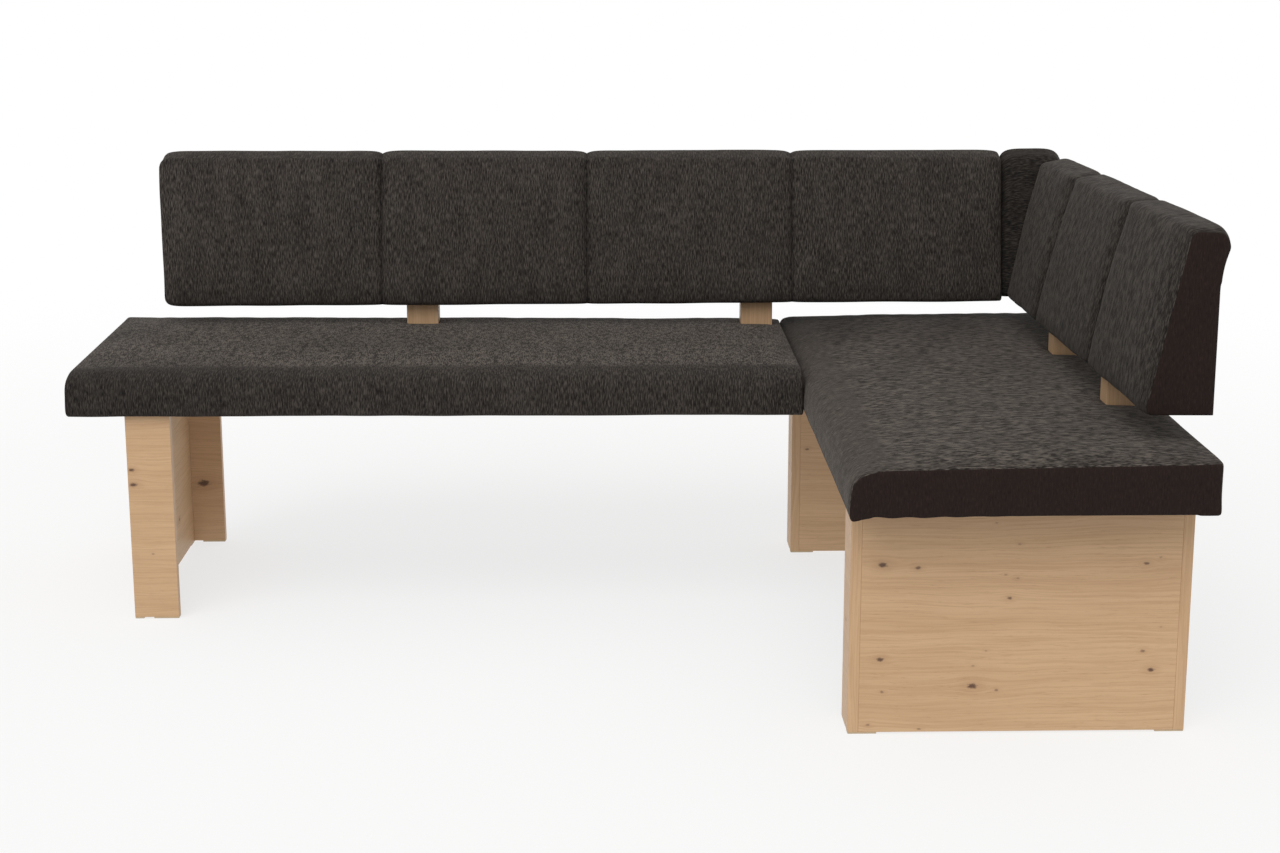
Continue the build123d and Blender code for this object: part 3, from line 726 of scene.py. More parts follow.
def rounded_box(
    low: Vector, high: Vector, edge: float, cell: float
) -> tuple[list[Vector], list[tuple[int, ...]]]:
    """Closed box of small cells with rounded edges.

    Args:
        low: its lower corner.
        high: its upper corner.
        edge: radius of its edges.
        cell: largest size of a cell.

    Returns:
        Its points and its faces.
    """
    marks: list[list[float]] = []
    for axis in range(3):
        inner = high[axis] - low[axis] - 2 * edge
        count = max(1, round(inner / cell))
        even = [low[axis] + edge + inner * k / count for k in range(count + 1)]
        steps = [share * edge for share in EDGE_MARKS]
        marks.append([*[low[axis] + s for s in steps], *even, *[high[axis] - s for s in steps[::-1]]])
    numbers: dict[tuple[int, ...], int] = {}
    points: list[Vector] = []
    faces: list[tuple[int, ...]] = []

    def number(at: tuple[int, ...]) -> int:
        """Number of the point at a place of the cell grid, made when it is first needed.

        Args:
            at: the place on the grid.

        Returns:
            The point's number.
        """
        if at not in numbers:
            spot = Vector([marks[axis][k] for axis, k in enumerate(at)])
            core = Vector([min(max(spot[a], low[a] + edge), high[a] - edge) for a in range(3)])
            numbers[at] = len(points)
            points.append(core + (spot - core).normalized() * edge)
        return numbers[at]

    for axis in range(3):
        first, second = (axis + 1) % 3, (axis + 2) % 3
        for end in (0, len(marks[axis]) - 1):
            for i in range(len(marks[first]) - 1):
                for j in range(len(marks[second]) - 1):
                    face = []
                    for a, b in ((i, j), (i + 1, j), (i + 1, j + 1), (i, j + 1)):
                        at = [end, end, end]
                        at[first], at[second] = a, b
                        face.append(number(tuple(at)))
                    faces.append(tuple(face))
    return points, faces


def spread_places(start: float, end: float, spacing: float, near: Sequence[float]) -> list[float]:
    """Places from start to end, evenly spaced, with extra ones next to both ends.

    Args:
        start: first place.
        end: last place.
        spacing: the usual distance.
        near: distances of the extra places from the ends.

    Returns:
        The places in order, both ends included.
    """
    first, last = start + near[-1], end - near[-1]
    count = max(2, round((last - first) / spacing))
    even = [first + (last - first) * k / count for k in range(count + 1)]
    return [start, *[start + n for n in near[:-1]], *even, *[end - n for n in near[-2::-1]], end]


# Soft pieces


@dataclass
class Pad:
    """A padded piece: closed sections along a side, with rolled ends and separate end panels."""

    name: str
    side: Side
    start: float
    end: float
    spine: tuple[Point, Point]
    panels: tuple[str, str]
    finishes: Finishes
    spacing: float = 0.014
    end_steps: tuple[float, ...] = (0.0015, 0.004, 0.008, 0.014)
    end_rolls: Point = (0.0030, 0.0030)
    end_roll_spread: float = 0.0035
    puffs: Point = (1.0, 1.0)
    ripple: float = 0.0012
    ripple_scale: float = 7.0
    crease: float = 0.0004
    crease_scale: float = 38.0
    swell_cap: float = 0.003
    fill: float = 0.85
    threads_along: bool = False
    open_pile: float = 0.0
    tufts: float = 0.0
    end_fade: float = 0.045
    piece: bpy.types.Object | None = None
    held: list[float] = field(default_factory=list)

    LINING_NAME = "lining"
    CAP_RINGS = (0.25, 0.6, 0.9)
    # Rings of an end panel: inset from its seam, distance outward, and unevenness.
    PANEL_RINGS = (
        (0.0, -0.0012, 0.0), (0.0012, 0.0004, 0.0001), (0.0035, 0.0014, 0.0003), (0.009, 0.0022, 0.0006),
        (0.018, 0.0027, 0.0005), (0.028, 0.0028, 0.0002), (0.040, 0.0028, 0.0),
    )
    PANEL_WAVES = 22.0
    PANEL_CLOTH = 0.0012
    PANEL_CUT = 0.995
    LINING_CLOTH = 0.0007
    LINING_CELL = 0.03
    LINING_WAVES = 21.0
    PUCKER = 0.045
    PUCKER_FADE = 0.02
    END_HELD = 0.003
    ROLL_FROM, ROLL_FADE = 0.004, 0.024

    def stations(self) -> list[float]:
        """Places of the sections along the side."""
        return spread_places(self.start, self.end, self.spacing, self.end_steps)

    def outline(self, along: float) -> list[Point]:
        """Section at a place along the side."""
        raise NotImplementedError

    def slant(self, along: float, across: float, height: float) -> float:
        """How far a point is moved along the side by a leaning end."""
        return 0.0

    def is_held(self, along: float, across: float, height: float) -> bool:
        """Whether the cloth is fixed at a point."""
        raise NotImplementedError

    def to_spine(self, point: Point) -> tuple[Point, float]:
        """Nearest point of the section's middle line, and its distance.

        Args:
            point: a section's point, across and up.

        Returns:
            The nearest point, and the distance.
        """
        (y0, z0), (y1, z1) = self.spine
        run, rise = y1 - y0, z1 - z0
        t = unit(((point[0] - y0) * run + (point[1] - z0) * rise) / (run * run + rise * rise))
        near = (y0 + t * run, z0 + t * rise)
        return near, math.hypot(point[0] - near[0], point[1] - near[1])

    def drawn_in(self, point: Point, inset: float) -> Point:
        """A section's point moved towards its middle line.

        Args:
            point: a section's point, across and up.
            inset: how far it moves.

        Returns:
            The moved point.
        """
        near, distance = self.to_spine(point)
        share = min(inset / distance, 0.95)
        return point[0] + (near[0] - point[0]) * share, point[1] + (near[1] - point[1]) * share

    def unevenness(self, along: float, point: Point) -> float:
        """Small hand-made unevenness of the cloth at a point, outward.

        Args:
            along: distance along the side.
            point: a section's point, across and up.

        Returns:
            The distance, negative where the cloth lies lower.
        """
        seat = Vector((along, point[0], point[1]))
        slow = noise.noise(seat * self.ripple_scale)
        fine = noise.noise(seat * self.crease_scale + Vector((4.0, 9.0, 2.0)))
        return self.ripple * slow + self.crease * fine

    def section(self, along: float) -> list[Point]:
        """Section with its rolled end and unevenness.

        Args:
            along: distance along the side.

        Returns:
            The section's points.
        """
        roll = self.end_rolls[0] * math.exp((self.start - along) / self.end_roll_spread)
        roll += self.end_rolls[1] * math.exp((along - self.end) / self.end_roll_spread)
        points = []
        for point in self.outline(along):
            out = 0.0 if self.is_held(along, *point) else self.unevenness(along, point)
            points.append(self.drawn_in(point, roll * self.roll_share(point) - out))
        return points

    def placed(self, along: float, point: Point) -> Vector:
        """A section's point in the model's frame."""
        return self.side.place(along + self.slant(along, *point), *point)

    def build(self) -> None:
        """Make the pad's closed mesh and its cloth map."""
        places = self.stations()
        sections = [self.section(s) for s in places]
        count = len(sections[0])
        points = [self.placed(s, p) for s, section in zip(places, sections) for p in section]
        self.held = [float(self.is_held(s, *p)) for s, section in zip(places, sections) for p in section]
        following = [(j + 1) % count for j in range(count)]
        faces: list[tuple[int, ...]] = []
        for i in range(len(places) - 1):
            a, b = i * count, (i + 1) * count
            faces += [(a + j, a + k, b + k, b + j) for j, k in enumerate(following)]
        walls = len(points)
        for row in (0, len(places) - 1):
            previous = [row * count + j for j in range(count)]
            for share in self.CAP_RINGS:
                ring = []
                for point in sections[row]:
                    _, distance = self.to_spine(point)
                    ring.append(self.drawn_in(point, share * distance))
                base = len(points)
                points += [self.placed(places[row], p) for p in ring]
                self.held += [1.0] * count
                faces += [(previous[j], base + j, base + k, previous[k]) for j, k in enumerate(following)]
                previous = list(range(base, base + count))
            faces.append(tuple(previous))
        middle = sections[len(places) // 2]
        steps = [math.dist(middle[j], middle[k]) for j, k in enumerate(following)]
        reach = [0.0, *np.cumsum(steps).tolist()]

        def cloth(vertex: int, corners: Sequence[int]) -> Point:
            """Place of a vertex on the cloth, the threads running along the first value.

            Args:
                vertex: the vertex's number.
                corners: the numbers of its face.

            Returns:
                The place on the cloth map.
            """
            if vertex >= walls:
                return (points[vertex].y, points[vertex].z)
            row, j = divmod(vertex, count)
            if j == 0 and any(c < walls and c % count == count - 1 for c in corners):
                j = count
            spot = (reach[j], places[row])
            return (spot[1], spot[0]) if self.threads_along else spot

        mesh = write_mesh(self.name, points, faces)
        write_map(mesh, "cloth", cloth)
        # The first attribute is painted shade, with brushed patches of pile on the seats.
        for label, look in (("painted_shade_and_brushing", self.painted_shade_and_brushing), ("pile", self.pile), ("tufts", self.streaks)):
            values = [look(s, p) for s, section in zip(places, sections) for p in section]
            values += [0.0] * (len(points) - walls)
            mesh.attributes.new(label, "FLOAT", "POINT").data.foreach_set("value", values)
        self.piece = new_piece(self.name, mesh)

    def painted_shade_and_brushing(self, along: float, point: Point) -> float:
        """How much painted shade darkens the cloth at a point."""
        return 0.0

    def pile(self, along: float, point: Point) -> float:
        """How much more the threads differ in tone at a point, less where it is negative."""
        return self.open_pile * self.inside(along)

    def streaks(self, along: float, point: Point) -> float:
        """How strongly the broader streaks show at a point."""
        return self.tufts * self.inside(along)

    def inside(self, along: float) -> float:
        """0 at the pad's ends, growing to 1 away from them."""
        return unit(min(along - self.start, self.end - along) / self.end_fade)

    def roll_share(self, point: Point) -> float:
        """How much of the rolled end a point takes part in, none where the cloth lies on its board."""
        raise NotImplementedError

    def dress(self, *nodes: str) -> None:
        """Args:
            nodes: the frame's nodes that it stands for.
        """
        finish_soft(self.piece)
        self.finishes.enrol(self.piece, Slot.COVER, *nodes)

    def build_panels(self) -> None:
        """Make the two plain end panels, each sewn on inside the rolled end."""
        for first, name in ((True, self.panels[0]), (False, self.panels[1])):
            along = self.start if first else self.end
            outward = -1.0 if first else 1.0
            outline = self.section(along)
            count = len(outline)
            following = [(j + 1) % count for j in range(count)]
            points: list[Vector] = []
            spots: list[Point] = []
            faces: list[tuple[int, ...]] = []
            for ring, (inset, out, uneven) in enumerate(self.PANEL_RINGS):
                for point in outline:
                    spot = self.drawn_in(point, inset)
                    wave = noise.noise(Vector((spot[0], spot[1], along)) * self.PANEL_WAVES)
                    puff = out * self.puffs[0 if first else 1] + uneven * wave
                    spots.append(spot)
                    points.append(self.placed(along, spot) + self.outward_step(outward * puff))
                if ring:
                    a, b = (ring - 1) * count, ring * count
                    faces += [(a + j, a + k, b + k, b + j) for j, k in enumerate(following)]
            faces.append(tuple(range(len(points) - count, len(points))))
            mesh = write_mesh(name, points, faces)
            if sum((f.normal.dot(self.outward_step(outward)) * f.area for f in mesh.polygons)) < 0:
                mesh.flip_normals()
            write_map(mesh, "cloth", lambda vertex, _: (spots[vertex][1], spots[vertex][0]))
            panel = new_piece(f"{name}_cloth", mesh)
            finish_soft(panel, self.PANEL_CLOTH)
            self.finishes.enrol(panel, Slot.LINING, name)

    def build_lining(self, name: str, board: str) -> None:
        """Make the plain lining on the side of the pad's board."""
        raise NotImplementedError

    def outward_step(self, step: float) -> Vector:
        """Step along the side in the model's frame."""
        return self.side.place(step, 0.0, 0.0) - self.side.place(0.0, 0.0, 0.0)

    def build_sheet(
        self, name: str, corners: Sequence[tuple[float, float, float]], normal: Vector, rests_on: str
    ) -> None:
        """Make a lining stretched flat between four corners.

        Args:
            name: the piece's name, which is its node's name.
            corners: along, across and height of its four corners in order.
            normal: the way its outer face looks.
            rests_on: the node that it lies against; not used.
        """
        spots = [Vector(c) for c in corners]
        width, length = (spots[1] - spots[0]).length, (spots[3] - spots[0]).length
        across, along = (max(4, round(size / self.LINING_CELL)) for size in (width, length))
        points, cloth, faces = [], [], []
        for i in range(along + 1):
            v = i / along
            for j in range(across + 1):
                u = j / across
                spot = (spots[0].lerp(spots[1], u)).lerp(spots[3].lerp(spots[2], u), v)
                rim = min(u * width, (1 - u) * width, v * length, (1 - v) * length)
                pucker = math.cos(math.tau * (u * width + v * length) / self.PUCKER)
                pucker *= math.exp(-rim / self.PUCKER_FADE)
                lift = 0.0003 * noise.noise(spot * self.LINING_WAVES) + 0.0002 * pucker
                points.append(self.side.place(*spot) + normal * lift)
                cloth.append((v * length, u * width))
        row = across + 1
        for first in range(0, along * row, row):
            second = first + row
            faces += [(first + j, first + j + 1, second + j + 1, second + j) for j in range(across)]
        mesh = write_mesh(name, points, faces)
        if sum(f.normal.dot(normal) for f in mesh.polygons) < 0:
            mesh.flip_normals()
        write_map(mesh, "cloth", lambda vertex, _: cloth[vertex])
        sheet = new_piece(f"{name}_cloth", mesh)
        finish_soft(sheet, self.LINING_CLOTH)
        self.finishes.enrol(sheet, Slot.LINING, name)


@dataclass
class SeatPad(Pad):
    """Seat: flat on its board, rounded along the sitting edge, with struts coming up through it."""

    crown: float = 0.006
    struts: tuple[tuple[float, float, float], ...] = ()
    depth: float = 0.585
    bottom: float = 0.403
    top: float = 0.491
    fall: float = 0.007
    nose_depth: float = 0.066
    nose_drop: float = 0.043
    nose_bend: float = 0.0187
    nose_bend_drop: float = 0.0095
    end_drops: Point = (0.0025, 0.0025)
    end_spread: float = 0.022
    rear_falls: Point = (0.0, 0.0)
    front_sags: Point = (0.0, 0.0)
    hem: float = 0.035
    hem_recess: float = 0.0016
    strut_rear: float = 0.562
    strut_press: float = 0.0035
    strut_press_spread: float = 0.007
    edge_wave: float = 0.0014
    hem_scallop: float = 0.0
    tight_start: float = 0.0
    tight_spread: float = 0.16
    # Painted shade on the seat's front face.
    painted_front_shade: float = 0.0
    top_pile: float = 1.70
    brushed: float = 0.24
    brush_scale: Point = (5.0, 9.0)
    # Painted shade at the first end and towards the rear.
    painted_start_shade: float = 0.0
    painted_start_shade_spread: float = 0.30
    painted_rear_shade: float = 0.0

    LINING_NAME = "underlining"
    EDGE_WAVES = 11.0
    SCALLOP_WAVES, SCALLOP_JITTER = 118.0, 31.0
    SCALLOP_HEIGHT, SCALLOP_FADE, SCALLOP_REACH = 0.008, 0.012, 0.30
    HEM_HELD, REAR_HELD, STRUT_HELD = 0.006, 0.001, 0.004
    TOP_DEPTH, TOP_FADE = 0.020, 0.020
    NOSE_LAP = 0.004
    DARKEST = 0.8
    LINING_LIFT, LINING_END, LINING_GAP = 0.0008, 0.004, 0.002

    def outline(self, along: float) -> list[Point]:
        """Section at a place along the side.

        Args:
            along: distance along the side.

        Returns:
            The section's points.
        """
        near = math.exp(-min(along - self.start, self.end - along) / self.end_spread)
        share = (along - self.start) / (self.end - self.start)
        top = self.top - self.end_drops[0 if share < 0.5 else 1] * near
        back = top - self.rear_falls[0] - (self.rear_falls[1] - self.rear_falls[0]) * share
        ease = 1 - self.tight_start * math.exp(-(along - self.start) / self.tight_spread)
        nose = top - self.fall * ease
        low = self.bottom + self.edge_wave * noise.noise(Vector((along * self.EDGE_WAVES, 0.3, self.depth)))
        low -= self.front_sags[0] + (self.front_sags[1] - self.front_sags[0]) * share
        rear = self.depth
        under = self.bottom + self.hem_recess
        # Corners across and up, each with the bulge and the parts of the edge it starts.
        chain = (
            (rear, self.bottom, 0.0, 8),
            (rear, back - 0.005, 0.00125, 3),
            (rear - 0.005, back, self.crown * (1 - near), 54),
            (self.nose_depth * ease, nose, 0.0024 * ease, 7),
            (self.nose_bend * ease, nose - self.nose_bend_drop * ease, 0.0060 * ease, 6),
            (0.0, nose - self.nose_drop * ease, 0.0012, 5),
            (0.0, low + 0.007, 0.0012, 3),
            (0.005, low, 0.0, 4),
            (self.hem, self.bottom, 0.0, 1),
            (self.hem + 0.001, under, 0.0, 40),
            (rear - self.hem - 0.001, under, 0.0, 1),
            (rear - self.hem, self.bottom, 0.0, 4),
        )
        points = closed_outline(chain)
        return [(y, z - self.pressed(along, y, z) - self.scallop(along, y, z)) for y, z in points]

    def scallop(self, along: float, across: float, height: float) -> float:
        """How far the hem below the last end hangs in small waves near the sitting edge.

        Args:
            along: distance along the side.
            across: distance back from the sitting edge.
            height: distance above the floor.

        Returns:
            The distance down.
        """
        if height > self.bottom + self.SCALLOP_HEIGHT:
            return 0.0
        jitter = noise.noise(Vector((across * self.SCALLOP_JITTER, 0.0, 0.0)))
        wave = 0.5 + 0.5 * math.sin(across * self.SCALLOP_WAVES + 2.0 * jitter)
        fade = math.exp((along - self.end) / self.SCALLOP_FADE) * max(0.0, 1 - across / self.SCALLOP_REACH)
        return self.hem_scallop * wave * fade

    def from_strut(self, along: float, across: float) -> float:
        """Distance from the nearest strut, seen from above.

        Args:
            along: distance along the side.
            across: distance back from the sitting edge.

        Returns:
            The distance, at most a metre.
        """
        gaps = [1.0]
        for middle, width, depth in self.struts:
            beside = max(abs(along - middle) - width / 2, 0.0)
            front = max(self.strut_rear - depth - across, across - self.strut_rear, 0.0)
            gaps.append(math.hypot(beside, front))
        return min(gaps)

    def pressed(self, along: float, across: float, height: float) -> float:
        """How far the cover is tucked down beside a strut.

        Args:
            along: distance along the side.
            across: distance back from the sitting edge.
            height: distance above the floor.

        Returns:
            The distance down.
        """
        if height < self.top - self.TOP_DEPTH:
            return 0.0
        return self.strut_press * math.exp(-self.from_strut(along, across) / self.strut_press_spread)

    def is_held(self, along: float, across: float, height: float) -> bool:
        """Whether the cloth is fixed: at its hems, rear face, ends and struts.

        Args:
            along: distance along the side.
            across: distance back from the sitting edge.
            height: distance above the floor.

        Returns:
            True where it is fixed.
        """
        edge = min(along - self.start, self.end - along)
        low = height < self.bottom + self.HEM_HELD
        rear = across > self.depth - self.REAR_HELD
        return low or rear or edge < self.END_HELD or self.from_strut(along, across) < self.STRUT_HELD

    def painted_shade_and_brushing(self, along: float, point: Point) -> float:
        """How much the cloth is darkened: painted shade on the front, at the first end and towards the rear,
        and brushed patches of pile on the top.

        Args:
            along: distance along the side.
            point: a section's point, across and up.

        Returns:
            The share of darkening.
        """
        front = self.painted_front_shade * (1 - self.on_top(point)) * (1.0 if point[0] < self.depth / 2 else 0.0)
        first = self.painted_start_shade * math.exp(-((along - self.start) / self.painted_start_shade_spread) ** 2)
        stroke = Vector((along * self.brush_scale[0], point[0] * self.brush_scale[1], self.start))
        patch = self.brushed * noise.noise(stroke) * self.on_top(point)
        rear = self.painted_rear_shade * (point[0] / self.depth) ** 3
        return min(self.DARKEST, max(0.0, front + first + patch + rear))

    def pile(self, along: float, point: Point) -> float:
        """How much more the threads differ in tone, most on the top, where the pile is brushed open."""
        return self.open_pile + self.top_pile * self.on_top(point) * self.inside(along)

    def streaks(self, along: float, point: Point) -> float:
        """How strongly the broader streaks show, which is only on the sitting surface."""
        return self.tufts * self.inside(along) * self.on_top(point)

    def on_top(self, point: Point) -> float:
        """1 on the sitting surface behind the rounded front, and 0 elsewhere.

        Args:
            point: a section's point, across and up.

        Returns:
            The share, from 0 to 1.
        """
        behind_nose = unit((point[0] - self.nose_depth + self.NOSE_LAP) / self.TOP_FADE)
        return behind_nose if point[1] > self.top - self.TOP_DEPTH else 0.0

    def roll_share(self, point: Point) -> float:
        """How much of the rolled end a point takes part in, growing from the hems upwards."""
        return unit((point[1] - self.bottom - self.ROLL_FROM) / self.ROLL_FADE)

    def build_lining(self, name: str, board: str) -> None:
        """Make the lining between the hems, below the seat's board.

        Args:
            name: the lining's node.
            board: the node of the seat's board.
        """
        level = self.bottom + self.LINING_LIFT
        first, last = self.start + self.LINING_END, self.end - self.LINING_END
        near, far = self.hem + self.LINING_GAP, self.depth - self.hem - self.LINING_GAP
        corners = [(first, near, level), (last, near, level), (last, far, level), (first, far, level)]
        self.build_sheet(name, corners, Vector((0, 0, -1)), board)


@dataclass
class BackPad(Pad):
    """Backrest: leaning front, rolled lip behind the top edge, and sewn channels between pads."""

    edges: tuple[float, ...] = ()
    lean: float = 0.0
    bottom: float = 0.541
    height: float = 0.303
    rear: float = 0.589
    board_rear: float = 0.5873
    board_front: float = 0.560
    foam_swing_depth: float = 0.024
    foot: float = 0.112
    head: float = 0.055
    top_fall: float = 0.009
    top_rise: float = 0.0
    crown: float = 0.005
    lip_out: float = 0.015
    lip_height: float = 0.090
    lip_crest: float = 0.027
    seam_depth: float = 0.0085
    seam_notch: float = 0.006
    seam_spread: float = 0.0095
    end_pull: float = 0.006
    end_drop: float = 0.004
    end_spread: float = 0.013
    recess: float = 0.0
    lift: float = 0.0
    hem_sag: float = 0.0
    top_slope: float = 0.0
    foot_push: float = 0.0
    flare: float = 0.0
    tuck: float = 0.0
    lip_swing: float = 0.0
    rear_swing: float = 0.0
    hem_wave: float = 0.0016
    hem_edge: float = 0.0015
    # Painted shade: all over, near the top, in the sewn channels and at the hem.
    painted_even_shade: float = 0.0
    painted_top_shade: float = 0.0
    painted_seam_shade: float = 0.38
    painted_hem_shade: float = 0.22
    start_round: float = 0.0
    start_round_spread: float = 0.007
    seam_steps: tuple[float, ...] = (0.0015, 0.004, 0.008, 0.014)

    LINING_NAME = "back_lining"
    HEM_WAVES = 9.0
    SAG_SHARES = (0.70, 0.30)
    SWING_FADE = 0.06
    EDGE_ROUND, FOOT_ROUND = 0.014, 0.010
    REAR_HELD, LIP_HELD, HEM_HELD, SEAM_HELD = 0.001, 0.004, 0.002, 0.001
    # Painted shade near the hem, near the top and beside the sewn channels: how far it reaches and how fast
    # it fades.
    LOW_NAP, LOW_NAP_FADE = 0.040, 0.045
    HIGH_NAP, HIGH_NAP_FADE = 0.030, 0.020
    SEAM_SHADE_FADE = 0.003
    BOARD_EASE, LIP_EASE = 0.012, 0.03
    LINING_EDGE, LINING_END, LINING_DEPTH = 0.001, 0.003, 0.0004

    def stations(self) -> list[float]:
        """Places of the sections, with extra ones next to every seam.

        Returns:
            The places in order.
        """
        places: list[float] = []
        for first, last in zip(self.edges, self.edges[1:]):
            run = spread_places(first, last, self.spacing, self.seam_steps)
            places += run[1:] if places else run
        return places

    def lip_low(self) -> float:
        """Height of the rolled lip's lower edge."""
        return self.bottom + self.height - self.lip_height

    def shape_at(self, along: float) -> tuple[float, float, float]:
        """How far the front is drawn in, the top dips, and the front is crowned.

        Args:
            along: distance along the side.

        Returns:
            The three distances.
        """
        end = math.exp(-min(along - self.start, self.end - along) / self.end_spread)
        seam = math.exp(-self.from_seam(along) / self.seam_spread)
        pull = self.end_pull * end + self.seam_depth * seam
        drop = self.end_drop * end + self.seam_notch * seam
        return pull, drop, self.crown * (1 - max(end, seam))

    def outline(self, along: float) -> list[Point]:
        """Section at a place along the side.

        Args:
            along: distance along the side.

        Returns:
            The section's points.
        """
        pull, drop, crown = self.shape_at(along)
        share = (self.end - along) / (self.end - self.start)
        sag = self.hem_sag * (self.SAG_SHARES[0] + self.SAG_SHARES[1] * share)
        rounding = self.start_round * math.exp((self.start - along) / self.start_round_spread)
        wave = self.hem_wave * noise.noise(Vector((along * self.HEM_WAVES, 1.7, self.rear)))
        low = self.bottom - sag + rounding + wave
        top = self.bottom + self.height + self.lift - drop - rounding - self.top_slope * share
        front = top - self.top_fall + self.top_rise * (1 - share)
        lip = self.rear + self.lip_out + self.lip_swing * (1 - share) - pull / 2
        head = self.rear - self.head + self.recess + pull
        foot = self.rear - self.foot + self.recess + pull - self.foot_push * share
        lip_low = self.lip_low()
        swing = self.rear_swing * math.exp((along - self.end) / self.SWING_FADE)
        behind = self.board_rear + swing
        # Corners across and up, each with the bulge and the parts of the edge it starts.
        chain = (
            (self.rear + swing, lip_low, -0.0020, 8),
            (lip, top - self.lip_crest, 0.0037, 6),
            (lip - self.EDGE_ROUND, top, 0.0, 4),
            (head + self.EDGE_ROUND, front, 0.0040, 5),
            (head, front - self.EDGE_ROUND, crown, 28),
            (foot, low + self.FOOT_ROUND, 0.0030, 4),
            (foot + self.FOOT_ROUND, low, 0.0, 9),
            (behind - self.hem_edge, self.bottom, 0.0, 1),
            (behind, self.bottom, 0.0, 1),
            (behind, self.bottom + self.hem_edge, 0.0, 12),
            (behind, lip_low - 0.001, 0.0, 1),
        )
        return closed_outline(chain)

    def slant(self, along: float, across: float, height: float) -> float:
        """How far a point is moved along the side by a leaning end, fading out within the first pad.

        Args:
            along: distance along the side.
            across: distance back from the sitting edge.
            height: distance above the floor.

        Returns:
            The distance along the side.
        """
        first_pad = self.edges[1] - self.start
        share = max(0.0, self.edges[1] - along) / first_pad
        up = height - self.bottom
        off_board = unit((self.board_front - across) / self.foam_swing_depth)
        swing = self.tuck - (self.tuck + self.flare) * up / self.height
        return share * (self.lean * up + off_board * swing)

    def is_held(self, along: float, across: float, height: float) -> bool:
        """Whether the cloth is fixed: at its rear, underside, ends and seams.

        Args:
            along: distance along the side.
            across: distance back from the sitting edge.
            height: distance above the floor.

        Returns:
            True where it is fixed.
        """
        edge = min(along - self.start, self.end - along)
        rear = across > self.board_rear - self.REAR_HELD and height < self.lip_low() + self.LIP_HELD
        low = height < self.bottom + self.HEM_HELD
        return rear or low or edge < self.END_HELD or self.from_seam(along) < self.SEAM_HELD

    def from_seam(self, along: float) -> float:
        """Distance from the nearest sewn channel, at most a metre."""
        return min((abs(along - edge) for edge in self.edges[1:-1]), default=1.0)

    def inside(self, along: float) -> float:
        """0 at the ends and sewn channels, growing to 1 away from them."""
        return unit(min(abs(along - edge) for edge in self.edges) / self.end_fade)

    def painted_shade_and_brushing(self, along: float, point: Point) -> float:
        """How much painted shade darkens the cloth: all over, near the top and the hem, and most in the sewn
        channels.

        Args:
            along: distance along the side.
            point: a section's point, across and up.

        Returns:
            The share of darkening.
        """
        low = unit((self.bottom + self.LOW_NAP - point[1]) / self.LOW_NAP_FADE)
        high = unit((point[1] - self.bottom - self.height + self.HIGH_NAP) / self.HIGH_NAP_FADE)
        in_seam = self.painted_seam_shade * math.exp(-self.from_seam(along) / self.SEAM_SHADE_FADE)
        return self.painted_even_shade + in_seam + self.painted_hem_shade * low + self.painted_top_shade * high

    def roll_share(self, point: Point) -> float:
        """How much of the rolled end a point takes part in, none on the board's rear and at the hem.

        Args:
            point: a section's point, across and up.

        Returns:
            The share, from 0 to 1.
        """
        up = unit((point[1] - self.bottom - self.ROLL_FROM) / self.ROLL_FADE)
        above, before = point[1] - self.lip_low(), self.board_rear - point[0]
        if before < self.BOARD_EASE and above < self.LIP_EASE:
            up *= max(0.0, before / self.BOARD_EASE, above / self.LIP_EASE)
        return up

    def build_lining(self, name: str, board: str) -> None:
        """Make the lining behind the board, tucked under the lip.

        Args:
            name: the lining's node.
            board: the node of the backrest's board.
        """
        low, high = self.bottom + self.LINING_EDGE, self.lip_low() - self.LINING_EDGE
        first, last = self.start + self.LINING_END, self.end - self.LINING_END
        level = self.rear - self.LINING_DEPTH
        corners = [(first + self.lean * (z - self.bottom), level, z) for z in (low, high)]
        corners = [corners[0], (last, level, low), (last, level, high), corners[1]]
        normal = self.side.place(0.0, 1.0, 0.0) - self.side.place(0.0, 0.0, 0.0)
        self.build_sheet(name, corners, normal, board)


@dataclass
class CornerPad(BackPad):
    """Narrow pad in the corner, with rounded shoulders and no sewn channel."""

    shoulder: float = 0.017
    shoulder_spread: float = 0.010
    edge_pull: float = 0.005
    low_crown: float = 0.002

    def shape_at(self, along: float) -> tuple[float, float, float]:
        """How far the front is drawn in, the top dips, and the front is crowned."""
        near = math.exp(-min(along - self.start, self.end - along) / self.shoulder_spread)
        return self.edge_pull * near, self.shoulder * near, self.low_crown * (1 - near)


